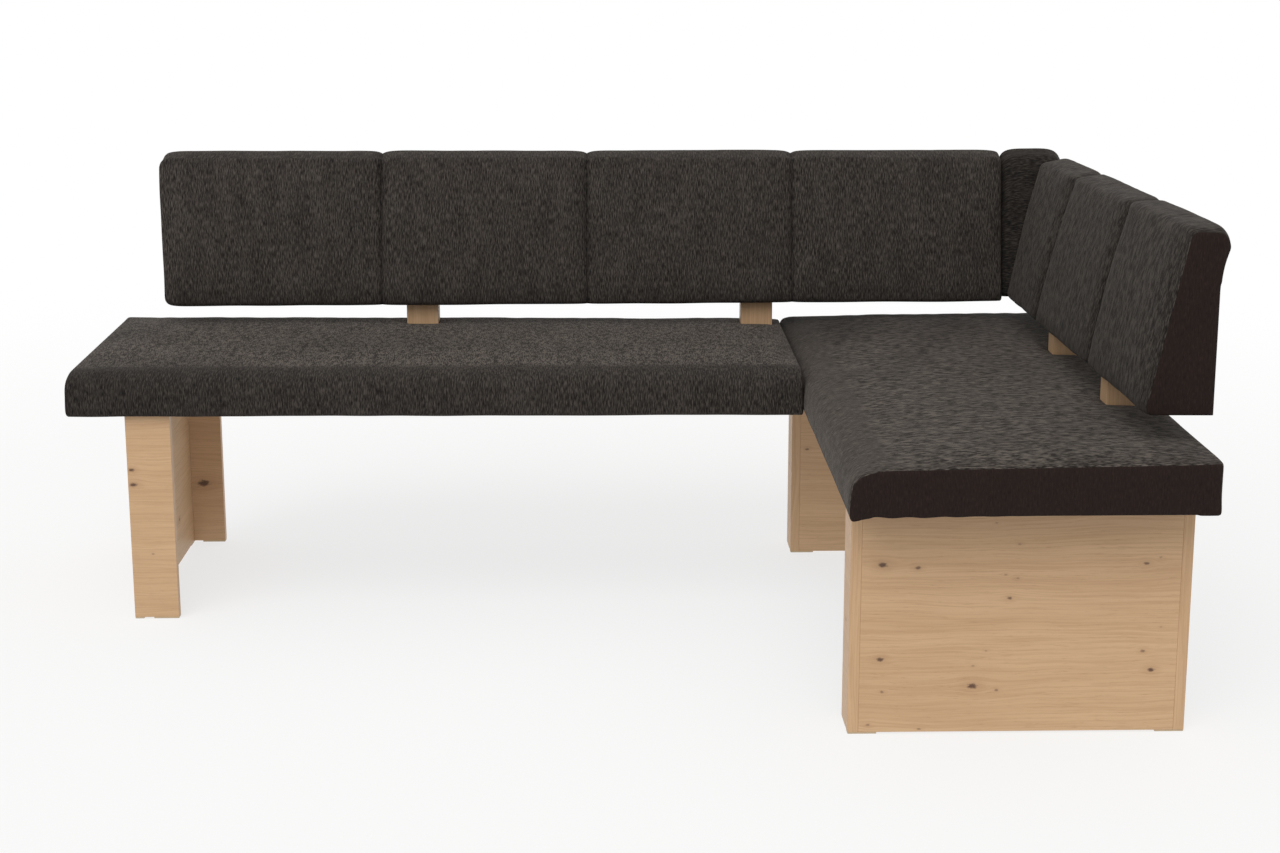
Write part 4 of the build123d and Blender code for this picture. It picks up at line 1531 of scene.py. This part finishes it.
@dataclass(frozen=True)
class Swelling:
    """Cloth simulation that lets the pads swell a little from their held seams."""

    frames: int = 16
    pressure: float = 0.5
    stiffness: float = 18.0
    bending: float = 1.5
    slack: float = -0.002

    def run(self, pads: Iterable[Pad]) -> None:
        """Simulate all pads together and keep the capped result.

        Args:
            pads: the pads, already built.
        """
        pads = list(pads)
        for pad in pads:
            group = pad.piece.vertex_groups.new(name="held")
            group.add([i for i, w in enumerate(pad.held) if w > 0], 1.0, "REPLACE")
            cloth = pad.piece.modifiers.new("swelling", "CLOTH")
            cloth.point_cache.frame_start, cloth.point_cache.frame_end = 1, self.frames
            cloth.collision_settings.use_collision = False
            cloth.collision_settings.use_self_collision = False
            cloth.settings.quality = 5
            cloth.settings.mass = 0.3
            cloth.settings.tension_stiffness = cloth.settings.compression_stiffness = self.stiffness
            cloth.settings.shear_stiffness = self.stiffness / 2
            cloth.settings.bending_stiffness = self.bending
            cloth.settings.air_damping = 4.0
            cloth.settings.use_pressure = True
            cloth.settings.uniform_pressure_force = self.pressure
            cloth.settings.vertex_group_mass = group.name
            cloth.settings.shrink_min = self.slack
            cloth.settings.effector_weights.gravity = 0.0
        for step in range(1, self.frames + 1):
            bpy.context.scene.frame_set(step)
        for pad in pads:
            self.keep(pad)
        bpy.context.scene.frame_set(1)

    @staticmethod
    def keep(pad: Pad) -> None:
        """Write a pad's simulated shape into its mesh, no further from its start than its cap.

        Args:
            pad: the simulated pad.
        """
        mesh = pad.piece.data
        start = np.empty(len(mesh.vertices) * 3)
        mesh.vertices.foreach_get("co", start)
        end = np.empty_like(start)
        settled = pad.piece.evaluated_get(bpy.context.evaluated_depsgraph_get())
        settled.data.vertices.foreach_get("co", end)
        move = (end - start).reshape(-1, 3)
        far = np.linalg.norm(move, axis=1, keepdims=True)
        LOG.info("%s swelled %.1f mm, at most %.1f mm", pad.name, far.mean() * 1000, far.max() * 1000)
        capped = move * (pad.swell_cap / (far + pad.swell_cap))
        pad.piece.modifiers.clear()
        pad.piece.vertex_groups.clear()
        mesh.vertices.foreach_set("co", start + capped.ravel())
        mesh.update()


# Boards


@dataclass(frozen=True)
class Knot:
    """A knot on a board's face: its place from the board's lower near corner, and its half height."""

    along: float
    height: float
    size: float

    def sizes_off(self, along: float, height: float) -> float:
        """Distance of a place from the knot, in the knot's own size."""
        return math.hypot((along - self.along) / KNOT_STRETCH, height - self.height) / self.size


@dataclass
class Board:
    """A decor board or strut with softened edges, sized by its node."""

    node: str
    slot: Slot
    grain: Grain
    number: float
    finishes: Finishes
    knots: tuple[Knot, ...] = ()
    edge: float = 0.0009
    cell: float = 0.009

    PLAIN_CELL = 0.05
    # What a board without knots stores: a small knot far off its faces.
    FAR = (9.0, 9.0, 0.01)
    # Where level faces and edge bands lie in the figure, so that none repeats its neighbour.
    LEVEL_SHIFT, BAND_SHIFT, BAND_STEP = 0.7, 0.45, 0.21

    def build(self) -> None:
        """Make the board in its node's place."""
        low, high = (Vector(corner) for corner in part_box(self.node))
        points, faces = rounded_box(low, high, self.edge, self.cell if self.knots else self.PLAIN_CELL)
        mesh = write_mesh(self.node, points, faces, smooth=False)
        self.write_grain(mesh, low)
        self.write_knots(mesh, low)
        numbers = [self.number] * len(mesh.vertices)
        mesh.attributes.new("board", "FLOAT", "POINT").data.foreach_set("value", numbers)
        self.finishes.enrol(new_piece(f"{self.node}_oak", mesh), self.slot, self.node)

    def write_grain(self, mesh: bpy.types.Mesh, low: Vector) -> None:
        """Lay the wood figure along the faces, and upright on the edge bands.

        Args:
            mesh: the board's mesh.
            low: its lower corner.
        """
        layer = mesh.uv_layers.new(name="grain")
        for face in mesh.polygons:
            main = max(range(3), key=lambda axis: abs(face.normal[axis]))
            for loop, vertex in zip(face.loop_indices, face.vertices):
                layer.data[loop].uv = self.grain_at(mesh.vertices[vertex].co - low, main)

    def grain_at(self, spot: Vector, main: int) -> Point:
        """Place on the wood figure, its lines running along the first value.

        Args:
            spot: the point from the board's lower corner.
            main: the axis that the face looks along.

        Returns:
            The place along and across the grain.
        """
        if main == 2:
            along, side = (spot.y, spot.x) if self.grain is Grain.ACROSS_FACE_X else (spot.x, spot.y)
            return (along, side + self.LEVEL_SHIFT)
        across = spot.y if main == 0 else spot.x
        if self.grain is Grain.UPRIGHT or main != self.grain.value:
            return (spot.z, across + self.BAND_SHIFT + self.BAND_STEP * main)
        return (across, spot.z)

    def write_knots(self, mesh: bpy.types.Mesh, low: Vector) -> None:
        """Store at every face's corners the way from the face's nearest knot, and that knot's size.

        Args:
            mesh: the board's mesh.
            low: its lower corner.
        """
        values: list[float] = []
        axis = 1 if self.grain is Grain.ACROSS_FACE_X else 0
        for face in mesh.polygons:
            centre = face.center - low
            nearest = min(self.knots, default=None, key=lambda knot: knot.sizes_off(centre[axis], centre.z))
            for vertex in face.vertices:
                if nearest is None:
                    values += self.FAR
                    continue
                spot = mesh.vertices[vertex].co - low
                values += (spot[axis] - nearest.along, spot.z - nearest.height, nearest.size)
        mesh.attributes.new("knot", "FLOAT_VECTOR", "CORNER").data.foreach_set("vector", values)


END_WEB_KNOTS = (
    Knot(0.187, 0.079, 0.0062), Knot(0.035, 0.288, 0.0055), Knot(0.466, 0.288, 0.0034),
    Knot(0.489, 0.298, 0.0022), Knot(0.482, 0.105, 0.0046), Knot(0.467, 0.138, 0.0030),
    Knot(0.244, 0.230, 0.0034), Knot(0.034, 0.126, 0.0042), Knot(0.092, 0.283, 0.0034),
    Knot(0.227, 0.072, 0.0027), Knot(0.038, 0.070, 0.0027), Knot(0.187, 0.114, 0.0020),
    Knot(0.208, 0.140, 0.0020), Knot(0.256, 0.264, 0.0022), Knot(0.236, 0.270, 0.0022),
    Knot(0.257, 0.322, 0.0022), Knot(0.218, 0.358, 0.0020), Knot(0.016, 0.013, 0.0024),
    Knot(0.101, 0.005, 0.0024), Knot(0.495, 0.179, 0.0018),
)
LEFT_FRONT_KNOTS = (Knot(0.010, 0.264, 0.0052), Knot(0.008, 0.293, 0.0040), Knot(0.041, 0.127, 0.0022))
LEFT_REAR_KNOTS = (Knot(0.044, 0.129, 0.0098), Knot(0.066, 0.300, 0.0022))
CORNER_WEB_KNOTS = (Knot(0.014, 0.224, 0.0030), Knot(0.300, 0.120, 0.0050), Knot(0.420, 0.310, 0.0035))
LEFT_WEB_KNOTS = (Knot(0.120, 0.250, 0.0055), Knot(0.370, 0.090, 0.0040), Knot(0.300, 0.320, 0.0025))
PLANK_KNOTS = (Knot(0.050, 0.180, 0.0036), Knot(0.022, 0.335, 0.0022))

BOARDS = (
    ("left_pedestal_front_plank", Grain.ACROSS_FACE_Y, LEFT_FRONT_KNOTS),
    ("left_pedestal_rear_plank", Grain.ACROSS_FACE_Y, LEFT_REAR_KNOTS),
    ("left_pedestal_web", Grain.ACROSS_FACE_X, LEFT_WEB_KNOTS),
    ("end_pedestal_left_plank", Grain.ACROSS_FACE_X, PLANK_KNOTS),
    ("end_pedestal_right_plank", Grain.ACROSS_FACE_X, PLANK_KNOTS),
    ("end_pedestal_web", Grain.ACROSS_FACE_Y, END_WEB_KNOTS),
    ("corner_pedestal_left_plank", Grain.ACROSS_FACE_X, PLANK_KNOTS),
    ("corner_pedestal_right_plank", Grain.ACROSS_FACE_X, PLANK_KNOTS),
    ("corner_pedestal_web", Grain.ACROSS_FACE_Y, CORNER_WEB_KNOTS),
)
STRUTS = ("long_left_strut", "long_right_strut", "short_rear_strut", "short_front_strut")
FIRST_STRUT = 20.0


# Fasteners


# Width and length of a cross recess's two slots, as shares of its depth.
SLOT_WIDTH, SLOT_LENGTH = 0.45, 2.0


def fastener_tree() -> bpy.types.NodeTree:
    """Screws or bolts standing on points, each turned along its point's own axis.

    Returns:
        The tree, with a named input for every size.
    """
    tree = bpy.data.node_groups.new("fastener_rows", "GeometryNodeTree")
    sizes = ("Head Base", "Head Top", "Head Height", "Shank Radius", "Shank Length", "Recess")
    takes = {"Geometry": "Geometry", **dict.fromkeys(sizes, "Float"), "Seed": "Int", "Material": "Material"}
    for label, kind in takes.items():
        tree.interface.new_socket(label, in_out="INPUT", socket_type=f"NodeSocket{kind}")
    tree.interface.new_socket("Geometry", in_out="OUTPUT", socket_type="NodeSocketGeometry")
    bench = NodeBench(tree)
    given = bench.add("NodeGroupInput").outputs
    head = bench.add("GeometryNodeMeshCone", {
        "Vertices": 32, "Radius Top": given["Head Top"], "Radius Bottom": given["Head Base"],
        "Depth": given["Head Height"],
    }).outputs["Mesh"]
    slots = bench.add("GeometryNodeJoinGeometry")
    up = bench.vector(0.0, 0.0, given["Head Height"])
    narrow = bench.math("MULTIPLY", given["Recess"], SLOT_WIDTH)
    wide = bench.math("MULTIPLY", given["Recess"], SLOT_LENGTH)
    for breadth, width in ((wide, narrow), (narrow, wide)):
        size = bench.vector(breadth, width, given["Recess"])
        bar = bench.add("GeometryNodeMeshCube", {"Size": size}).outputs["Mesh"]
        lifted = bench.add("GeometryNodeTransform", {0: bar, "Translation": up})
        bench.tree.links.new(lifted.outputs[0], slots.inputs[0])
    meshes = {"Mesh 1": head, "Mesh 2": slots.outputs[0]}
    cut = bench.add("GeometryNodeMeshBoolean", meshes, operation="DIFFERENCE")
    shank = bench.add("GeometryNodeMeshCylinder", {
        "Vertices": 24, "Radius": given["Shank Radius"], "Depth": given["Shank Length"],
    }).outputs["Mesh"]
    down = bench.vector(0.0, 0.0, bench.math("MULTIPLY", given["Shank Length"], -0.5))
    lowered = bench.add("GeometryNodeTransform", {0: shank, "Translation": down})
    whole = bench.add("GeometryNodeJoinGeometry")
    bench.tree.links.new(cut.outputs[0], whole.inputs[0])
    bench.tree.links.new(lowered.outputs[0], whole.inputs[0])
    axis = bench.add("GeometryNodeInputNamedAttribute", {"Name": "axis"}, data_type="FLOAT_VECTOR").outputs[0]
    upright = bench.add("FunctionNodeAlignRotationToVector", {"Vector": axis}, axis="Z").outputs[0]
    span = {2: 0.0, 3: math.tau, "Seed": given["Seed"]}
    turn = bench.add("FunctionNodeRandomValue", span, data_type="FLOAT").outputs[1]
    twist = bench.add("FunctionNodeAxisAngleToRotation", {"Axis": (0.0, 0.0, 1.0), "Angle": turn}).outputs[0]
    turns = {0: upright, 1: twist}
    facing = bench.add("FunctionNodeRotateRotation", turns, rotation_space="LOCAL").outputs[0]
    rows = bench.add("GeometryNodeInstanceOnPoints", {
        "Points": given["Geometry"], "Instance": whole.outputs[0], "Rotation": facing,
    })
    real = bench.add("GeometryNodeRealizeInstances", {0: rows.outputs[0]})
    dressed = bench.add("GeometryNodeSetMaterial", {0: real.outputs[0], "Material": given["Material"]})
    bench.tree.links.new(dressed.outputs[0], bench.add("NodeGroupOutput").inputs[0])
    return tree


@dataclass
class FastenerRow:
    """All screws or bolts of one node, each with a cross recess, standing where the node's bodies are."""

    node: str
    shank_radius: float
    length: float
    head_base: float
    head_top: float
    head_height: float
    recess: float
    seed: int
    finishes: Finishes

    def bodies(self) -> list[list[Vector]]:
        """Points of the node's separate bodies.

        Returns:
            The points, one list for each body.
        """
        source = frame["nodes"][self.node]
        shape = bmesh.new()
        shape.from_mesh(source.data)
        bmesh.ops.remove_doubles(shape, verts=shape.verts, dist=1e-6)
        waiting = set(shape.verts)
        found: list[list[Vector]] = []
        while waiting:
            stack, body = [waiting.pop()], []
            while stack:
                vertex = stack.pop()
                body.append(source.matrix_world @ vertex.co)
                for edge in vertex.link_edges:
                    other = edge.other_vert(vertex)
                    if other in waiting:
                        waiting.discard(other)
                        stack.append(other)
            found.append(body)
        shape.free()
        return found

    def stand(self, body: Sequence[Vector]) -> tuple[Vector, Vector]:
        """Where a fastener's head bears, and the way from its tip to its head.

        Args:
            body: the points of one body.

        Returns:
            The place and the direction.
        """
        low = Vector([min(p[k] for p in body) for k in range(3)])
        high = Vector([max(p[k] for p in body) for k in range(3)])
        main = max(range(3), key=lambda k: high[k] - low[k])
        middle = (low + high) / 2
        reach = {}
        for sign, end in ((-1.0, low[main]), (1.0, high[main])):
            rim = [p - middle for p in body if abs(p[main] - end) < 1e-4]
            reach[sign] = max(math.hypot(p[(main + 1) % 3], p[(main + 2) % 3]) for p in rim)
        sign = 1.0 if reach[1.0] > reach[-1.0] else -1.0
        axis = Vector((0.0, 0.0, 0.0))
        axis[main] = sign
        middle[main] = high[main] if sign > 0 else low[main]
        return middle - axis * self.head_height, axis

    def build(self, tree: bpy.types.NodeTree) -> None:
        """Stand a fastener on every body's place.

        Args:
            tree: the shared fastener tree.
        """
        stands = [self.stand(body) for body in self.bodies()]
        # The bodies come in no fixed order, and each one's place in the row decides its turn.
        stands.sort(key=lambda stand: [round(value, 4) for value in stand[0]])
        mesh = bpy.data.meshes.new(self.node)
        mesh.from_pydata([tuple(spot) for spot, _ in stands], [], [])
        axes = [value for _, axis in stands for value in axis]
        mesh.attributes.new("axis", "FLOAT_VECTOR", "POINT").data.foreach_set("vector", axes)
        piece = new_piece(f"{self.node}_cross", mesh)
        rows = piece.modifiers.new("rows", "NODES")
        rows.node_group = tree
        sizes = {"Head Base": self.head_base, "Head Top": self.head_top, "Head Height": self.head_height,
                 "Shank Radius": self.shank_radius, "Shank Length": self.length, "Recess": self.recess,
                 "Seed": self.seed, "Material": self.finishes.by_slot[Slot.STEEL]}
        for label, value in sizes.items():
            rows[tree.interface.items_tree[label].identifier] = value
        solid = bpy.data.meshes.new_from_object(piece.evaluated_get(bpy.context.evaluated_depsgraph_get()))
        piece.modifiers.clear()
        piece.data = solid
        self.finishes.enrol(piece, Slot.STEEL, self.node)


SCREW = {"shank_radius": 0.0020, "length": 0.0150, "head_base": 0.0039, "head_top": 0.0031,
         "head_height": 0.0024, "recess": 0.0018}
SEAT_BOLT = {"shank_radius": 0.0040, "length": 0.0535, "head_base": 0.0040, "head_top": 0.0080,
             "head_height": 0.0045, "recess": 0.0034}
FASTENERS = (
    ("bracket_screws", SCREW), ("seat_plate_screws", SCREW), ("backrest_plate_screws", SCREW),
    ("strut_seat_bolts", SEAT_BOLT), ("strut_back_bolts", SEAT_BOLT),
)


# Stage


@dataclass(frozen=True)
class Stage:
    """Camera at the photographed angle, even studio light, and a pale floor on white."""

    eye: tuple[float, float, float] = (0.00255, -3.96997, 1.30292)
    yaw: float = 0.01977
    pitch: float = 0.22427
    roll: float = -0.00117
    lens: float = 61.51
    sensor: float = 36.0
    sky: float = 0.62
    sun: float = 1.40
    floor_bounce: float = 0.70
    floor_shadow: float = 0.28
    floor_fade: Point = (1.6, 4.5)
    sun_angle: float = 0.9
    sun_turn: tuple[float, float, float] = (0.74, -0.10, -0.25)
    floor_half: float = 30.0

    def build(self) -> None:
        """Make the camera, the light and the floor."""
        self.build_camera()
        self.build_light()
        self.build_floor()

    def build_camera(self) -> None:
        """Stand the camera where the photograph was taken from."""
        data = bpy.data.cameras.new("photo_view")
        data.sensor_width = self.sensor
        data.lens = self.lens
        camera = bpy.data.objects.new("photo_view", data)
        bpy.context.scene.collection.objects.link(camera)
        aim = Matrix.Rotation(-self.yaw, 4, "Z") @ Matrix.Rotation(math.pi / 2 - self.pitch, 4, "X")
        camera.matrix_world = Matrix.Translation(self.eye) @ aim @ Matrix.Rotation(self.roll, 4, "Z")
        bpy.context.scene.camera = camera

    def seen_directly(self, bench: NodeBench) -> bpy.types.NodeSocket:
        """1 for what the camera, a reflection or a clear material sees, and 0 for light.

        Args:
            bench: the bench of the tree.

        Returns:
            The value's socket.
        """
        path = bench.add("ShaderNodeLightPath")
        mirror = bench.math("MAXIMUM", path.outputs["Is Glossy Ray"], path.outputs["Is Transmission Ray"])
        return bench.math("MAXIMUM", path.outputs["Is Camera Ray"], mirror)

    def build_light(self) -> None:
        """White surroundings that light evenly, and one broad lamp from above."""
        world = bpy.data.worlds.new("studio")
        bpy.context.scene.world = world
        world.use_nodes = True
        bench = NodeBench(world.node_tree)
        shown = world.node_tree.nodes["Background"]
        shown.inputs[0].default_value = (1.0, 1.0, 1.0, 1.0)
        light = bench.add("ShaderNodeBackground", {0: (1.0, 0.995, 0.985, 1.0), 1: self.sky})
        feeds = {0: self.seen_directly(bench), 1: light.outputs[0], 2: shown.outputs[0]}
        both = bench.add("ShaderNodeMixShader", feeds)
        bench.tree.links.new(both.outputs[0], world.node_tree.nodes["World Output"].inputs[0])
        data = bpy.data.lights.new("broad_lamp", "SUN")
        data.energy = self.sun
        data.angle = self.sun_angle
        lamp = bpy.data.objects.new("broad_lamp", data)
        lamp.rotation_euler = self.sun_turn
        bpy.context.scene.collection.objects.link(lamp)

    def build_floor(self) -> None:
        """Pale floor that fades into the white surroundings and keeps the shadow."""
        half = self.floor_half
        turns = ((-1, -1), (1, -1), (1, 1), (-1, 1))
        corners = [Vector((x * half, y * half, 0.0)) for x, y in turns]
        mesh = write_mesh("floor", corners, [(0, 1, 2, 3)], smooth=False)
        material, bench, shader = bare_material("pale_floor")
        place = bench.add("ShaderNodeTexCoord").outputs["Object"]
        tone = bench.noise(place, 2.0)
        colour = bench.mix(tone, (0.86, 0.86, 0.855, 1.0), (0.90, 0.90, 0.895, 1.0))
        bench.tree.links.new(colour, shader.inputs["Base Color"])
        shader.inputs["Roughness"].default_value = 0.9
        seen = self.seen_directly(bench)
        level = bench.math("MULTIPLY_ADD", seen, 1.0 - self.floor_bounce, self.floor_bounce)
        glow = bench.add("ShaderNodeEmission", {0: (1.0, 1.0, 1.0, 1.0), 1: level})
        far = bench.add("ShaderNodeVectorMath", {0: place}, operation="LENGTH").outputs["Value"]
        near = bench.math("SUBTRACT", 1.0, bench.ramp(far, *self.floor_fade))
        shown = bench.math("MULTIPLY", bench.math("MULTIPLY", seen, near), self.floor_shadow)
        share = bench.math("SUBTRACT", 1.0, shown)
        both = bench.add("ShaderNodeMixShader", {0: share, 1: shader.outputs[0], 2: glow.outputs[0]})
        bench.tree.links.new(both.outputs[0], material.node_tree.nodes["Material Output"].inputs[0])
        mesh.materials.append(material)
        new_piece("floor", mesh)
        bpy.context.scene.view_settings.view_transform = "Standard"


# The bench


def seat_pads(finishes: Finishes) -> tuple[SeatPad, SeatPad]:
    """The long and the short seat.

    Args:
        finishes: the bench's materials.

    Returns:
        The two seats, not built yet.
    """
    spine = ((0.044, 0.447), (0.541, 0.447))
    # The long seat's front face is given painted shade.
    long_seat = SeatPad(
        name="long_seat_pad", side=Side.LONG, start=-1.393, end=-0.003, spine=spine, crown=0.005,
        tufts=0.75, painted_front_shade=0.42, painted_start_shade=0.13, painted_start_shade_spread=0.45, end_rolls=(0.0010, 0.0020),
        end_drops=(0.0, 0.002), puffs=(2.0, 1.0),
        rear_falls=(-0.003, 0.006), front_sags=(0.0, 0.004), swell_cap=0.002,
        panels=("long_seat_left_end_panel", "long_seat_right_end_panel"), finishes=finishes,
        struts=((-0.760, 0.066, 0.050), (-0.055, 0.066, 0.050)),
    )
    # The short seat is given painted shade at its rear end and towards the rear.
    short_seat = SeatPad(
        name="short_seat_pad", side=Side.SHORT, start=-0.585, end=0.755, spine=spine, crown=0.010,
        tight_start=0.58, tufts=1.05, painted_start_shade=0.56, painted_rear_shade=0.10,
        end_rolls=(0.0005, 0.0025), end_drops=(0.0, 0.002),
        rear_falls=(-0.002, 0.0), front_sags=(0.001, 0.002), swell_cap=0.002, hem_scallop=0.0045,
        strut_press=0.0075, strut_press_spread=0.014,
        panels=("short_seat_rear_end_panel", "short_seat_front_end_panel"), finishes=finishes,
        struts=((-0.148, 0.050, 0.066), (0.306, 0.050, 0.066)),
    )
    return long_seat, short_seat


def back_pads(finishes: Finishes) -> tuple[BackPad, BackPad, BackPad]:
    """The long and the short backrest and the corner pad.

    Args:
        finishes: the bench's materials.

    Returns:
        The three pads, not built yet.
    """
    spine = ((0.548, 0.590), (0.570, 0.805))
    long_edges = (-1.302, -0.842, -0.412, 0.018, 0.458)
    long_back = BackPad(
        name="long_backrest_pad", side=Side.LONG, start=long_edges[0], end=long_edges[-1], spine=spine,
        panels=("long_backrest_left_end_panel", "long_backrest_right_end_panel"), finishes=finishes,
        edges=long_edges, hem_sag=0.009, flare=0.005, tuck=0.009, top_slope=-0.003, painted_even_shade=0.27,
        painted_top_shade=0.13, start_round=0.008, open_pile=-0.10, end_rolls=(0.0030, 0.0015),
    )
    short_edges = (-0.493, -0.199, 0.245, 0.651)
    # The short backrest is given more painted shade all over than the long one.
    short_back = BackPad(
        name="short_backrest_pad", side=Side.SHORT, start=short_edges[0], end=short_edges[-1], spine=spine,
        panels=("short_backrest_rear_end_panel", "short_backrest_front_end_panel"), finishes=finishes,
        edges=short_edges, lean=-0.1881, top_slope=0.010, foot_push=0.010,
        top_rise=0.011, end_drop=0.008, end_spread=0.016, painted_even_shade=0.48, open_pile=1.00, tufts=0.75,
        hem_sag=-0.002, lip_swing=0.005, rear_swing=0.005, end_rolls=(0.0030, 0.0010),
    )
    corner_edges = (0.462, 0.589)
    # The corner pad is given the strongest painted shade all over.
    corner = CornerPad(
        name="corner_backrest_pad", side=Side.LONG, start=corner_edges[0], end=corner_edges[1],
        spine=((0.556, 0.590), (0.575, 0.805)), finishes=finishes, edges=corner_edges,
        panels=("corner_backrest_left_end_panel", "corner_backrest_right_end_panel"),
        recess=0.020, lift=0.003, threads_along=True, spacing=0.008, painted_even_shade=0.61,
        end_rolls=(0.0010, 0.0010),
    )
    return long_back, short_back, corner


def main() -> None:
    """Build the bench round the frame and report each piece."""
    logging.basicConfig(level=logging.INFO, format="%(relativeCreated)6.0f ms  %(message)s")
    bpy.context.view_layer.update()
    finishes = Finishes()
    finishes.build()
    Stage().build()
    seats, backs = seat_pads(finishes), back_pads(finishes)
    for pad in (*seats, *backs):
        pad.build()
    Swelling().run((*seats, *backs))
    for pad in (*seats, *backs):
        stem = pad.name.removesuffix("_pad")
        pad.dress(f"{stem}_cover", f"{stem}_foam")
        pad.build_panels()
        pad.build_lining(f"{stem}_{pad.LINING_NAME}", f"{stem}_board")
    for number, (node, grain, knots) in enumerate(BOARDS):
        Board(node, Slot.OAK_BOARD, grain, float(number), finishes, knots).build()
    for number, node in enumerate(STRUTS):
        Board(node, Slot.OAK_STRUT, Grain.UPRIGHT, FIRST_STRUT + number, finishes).build()
    tree = fastener_tree()
    for seed, (node, sizes) in enumerate(FASTENERS):
        FastenerRow(node=node, seed=seed, finishes=finishes, **sizes).build(tree)
    finishes.dress_frame()
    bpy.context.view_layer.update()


if __name__ == "__main__":
    main()
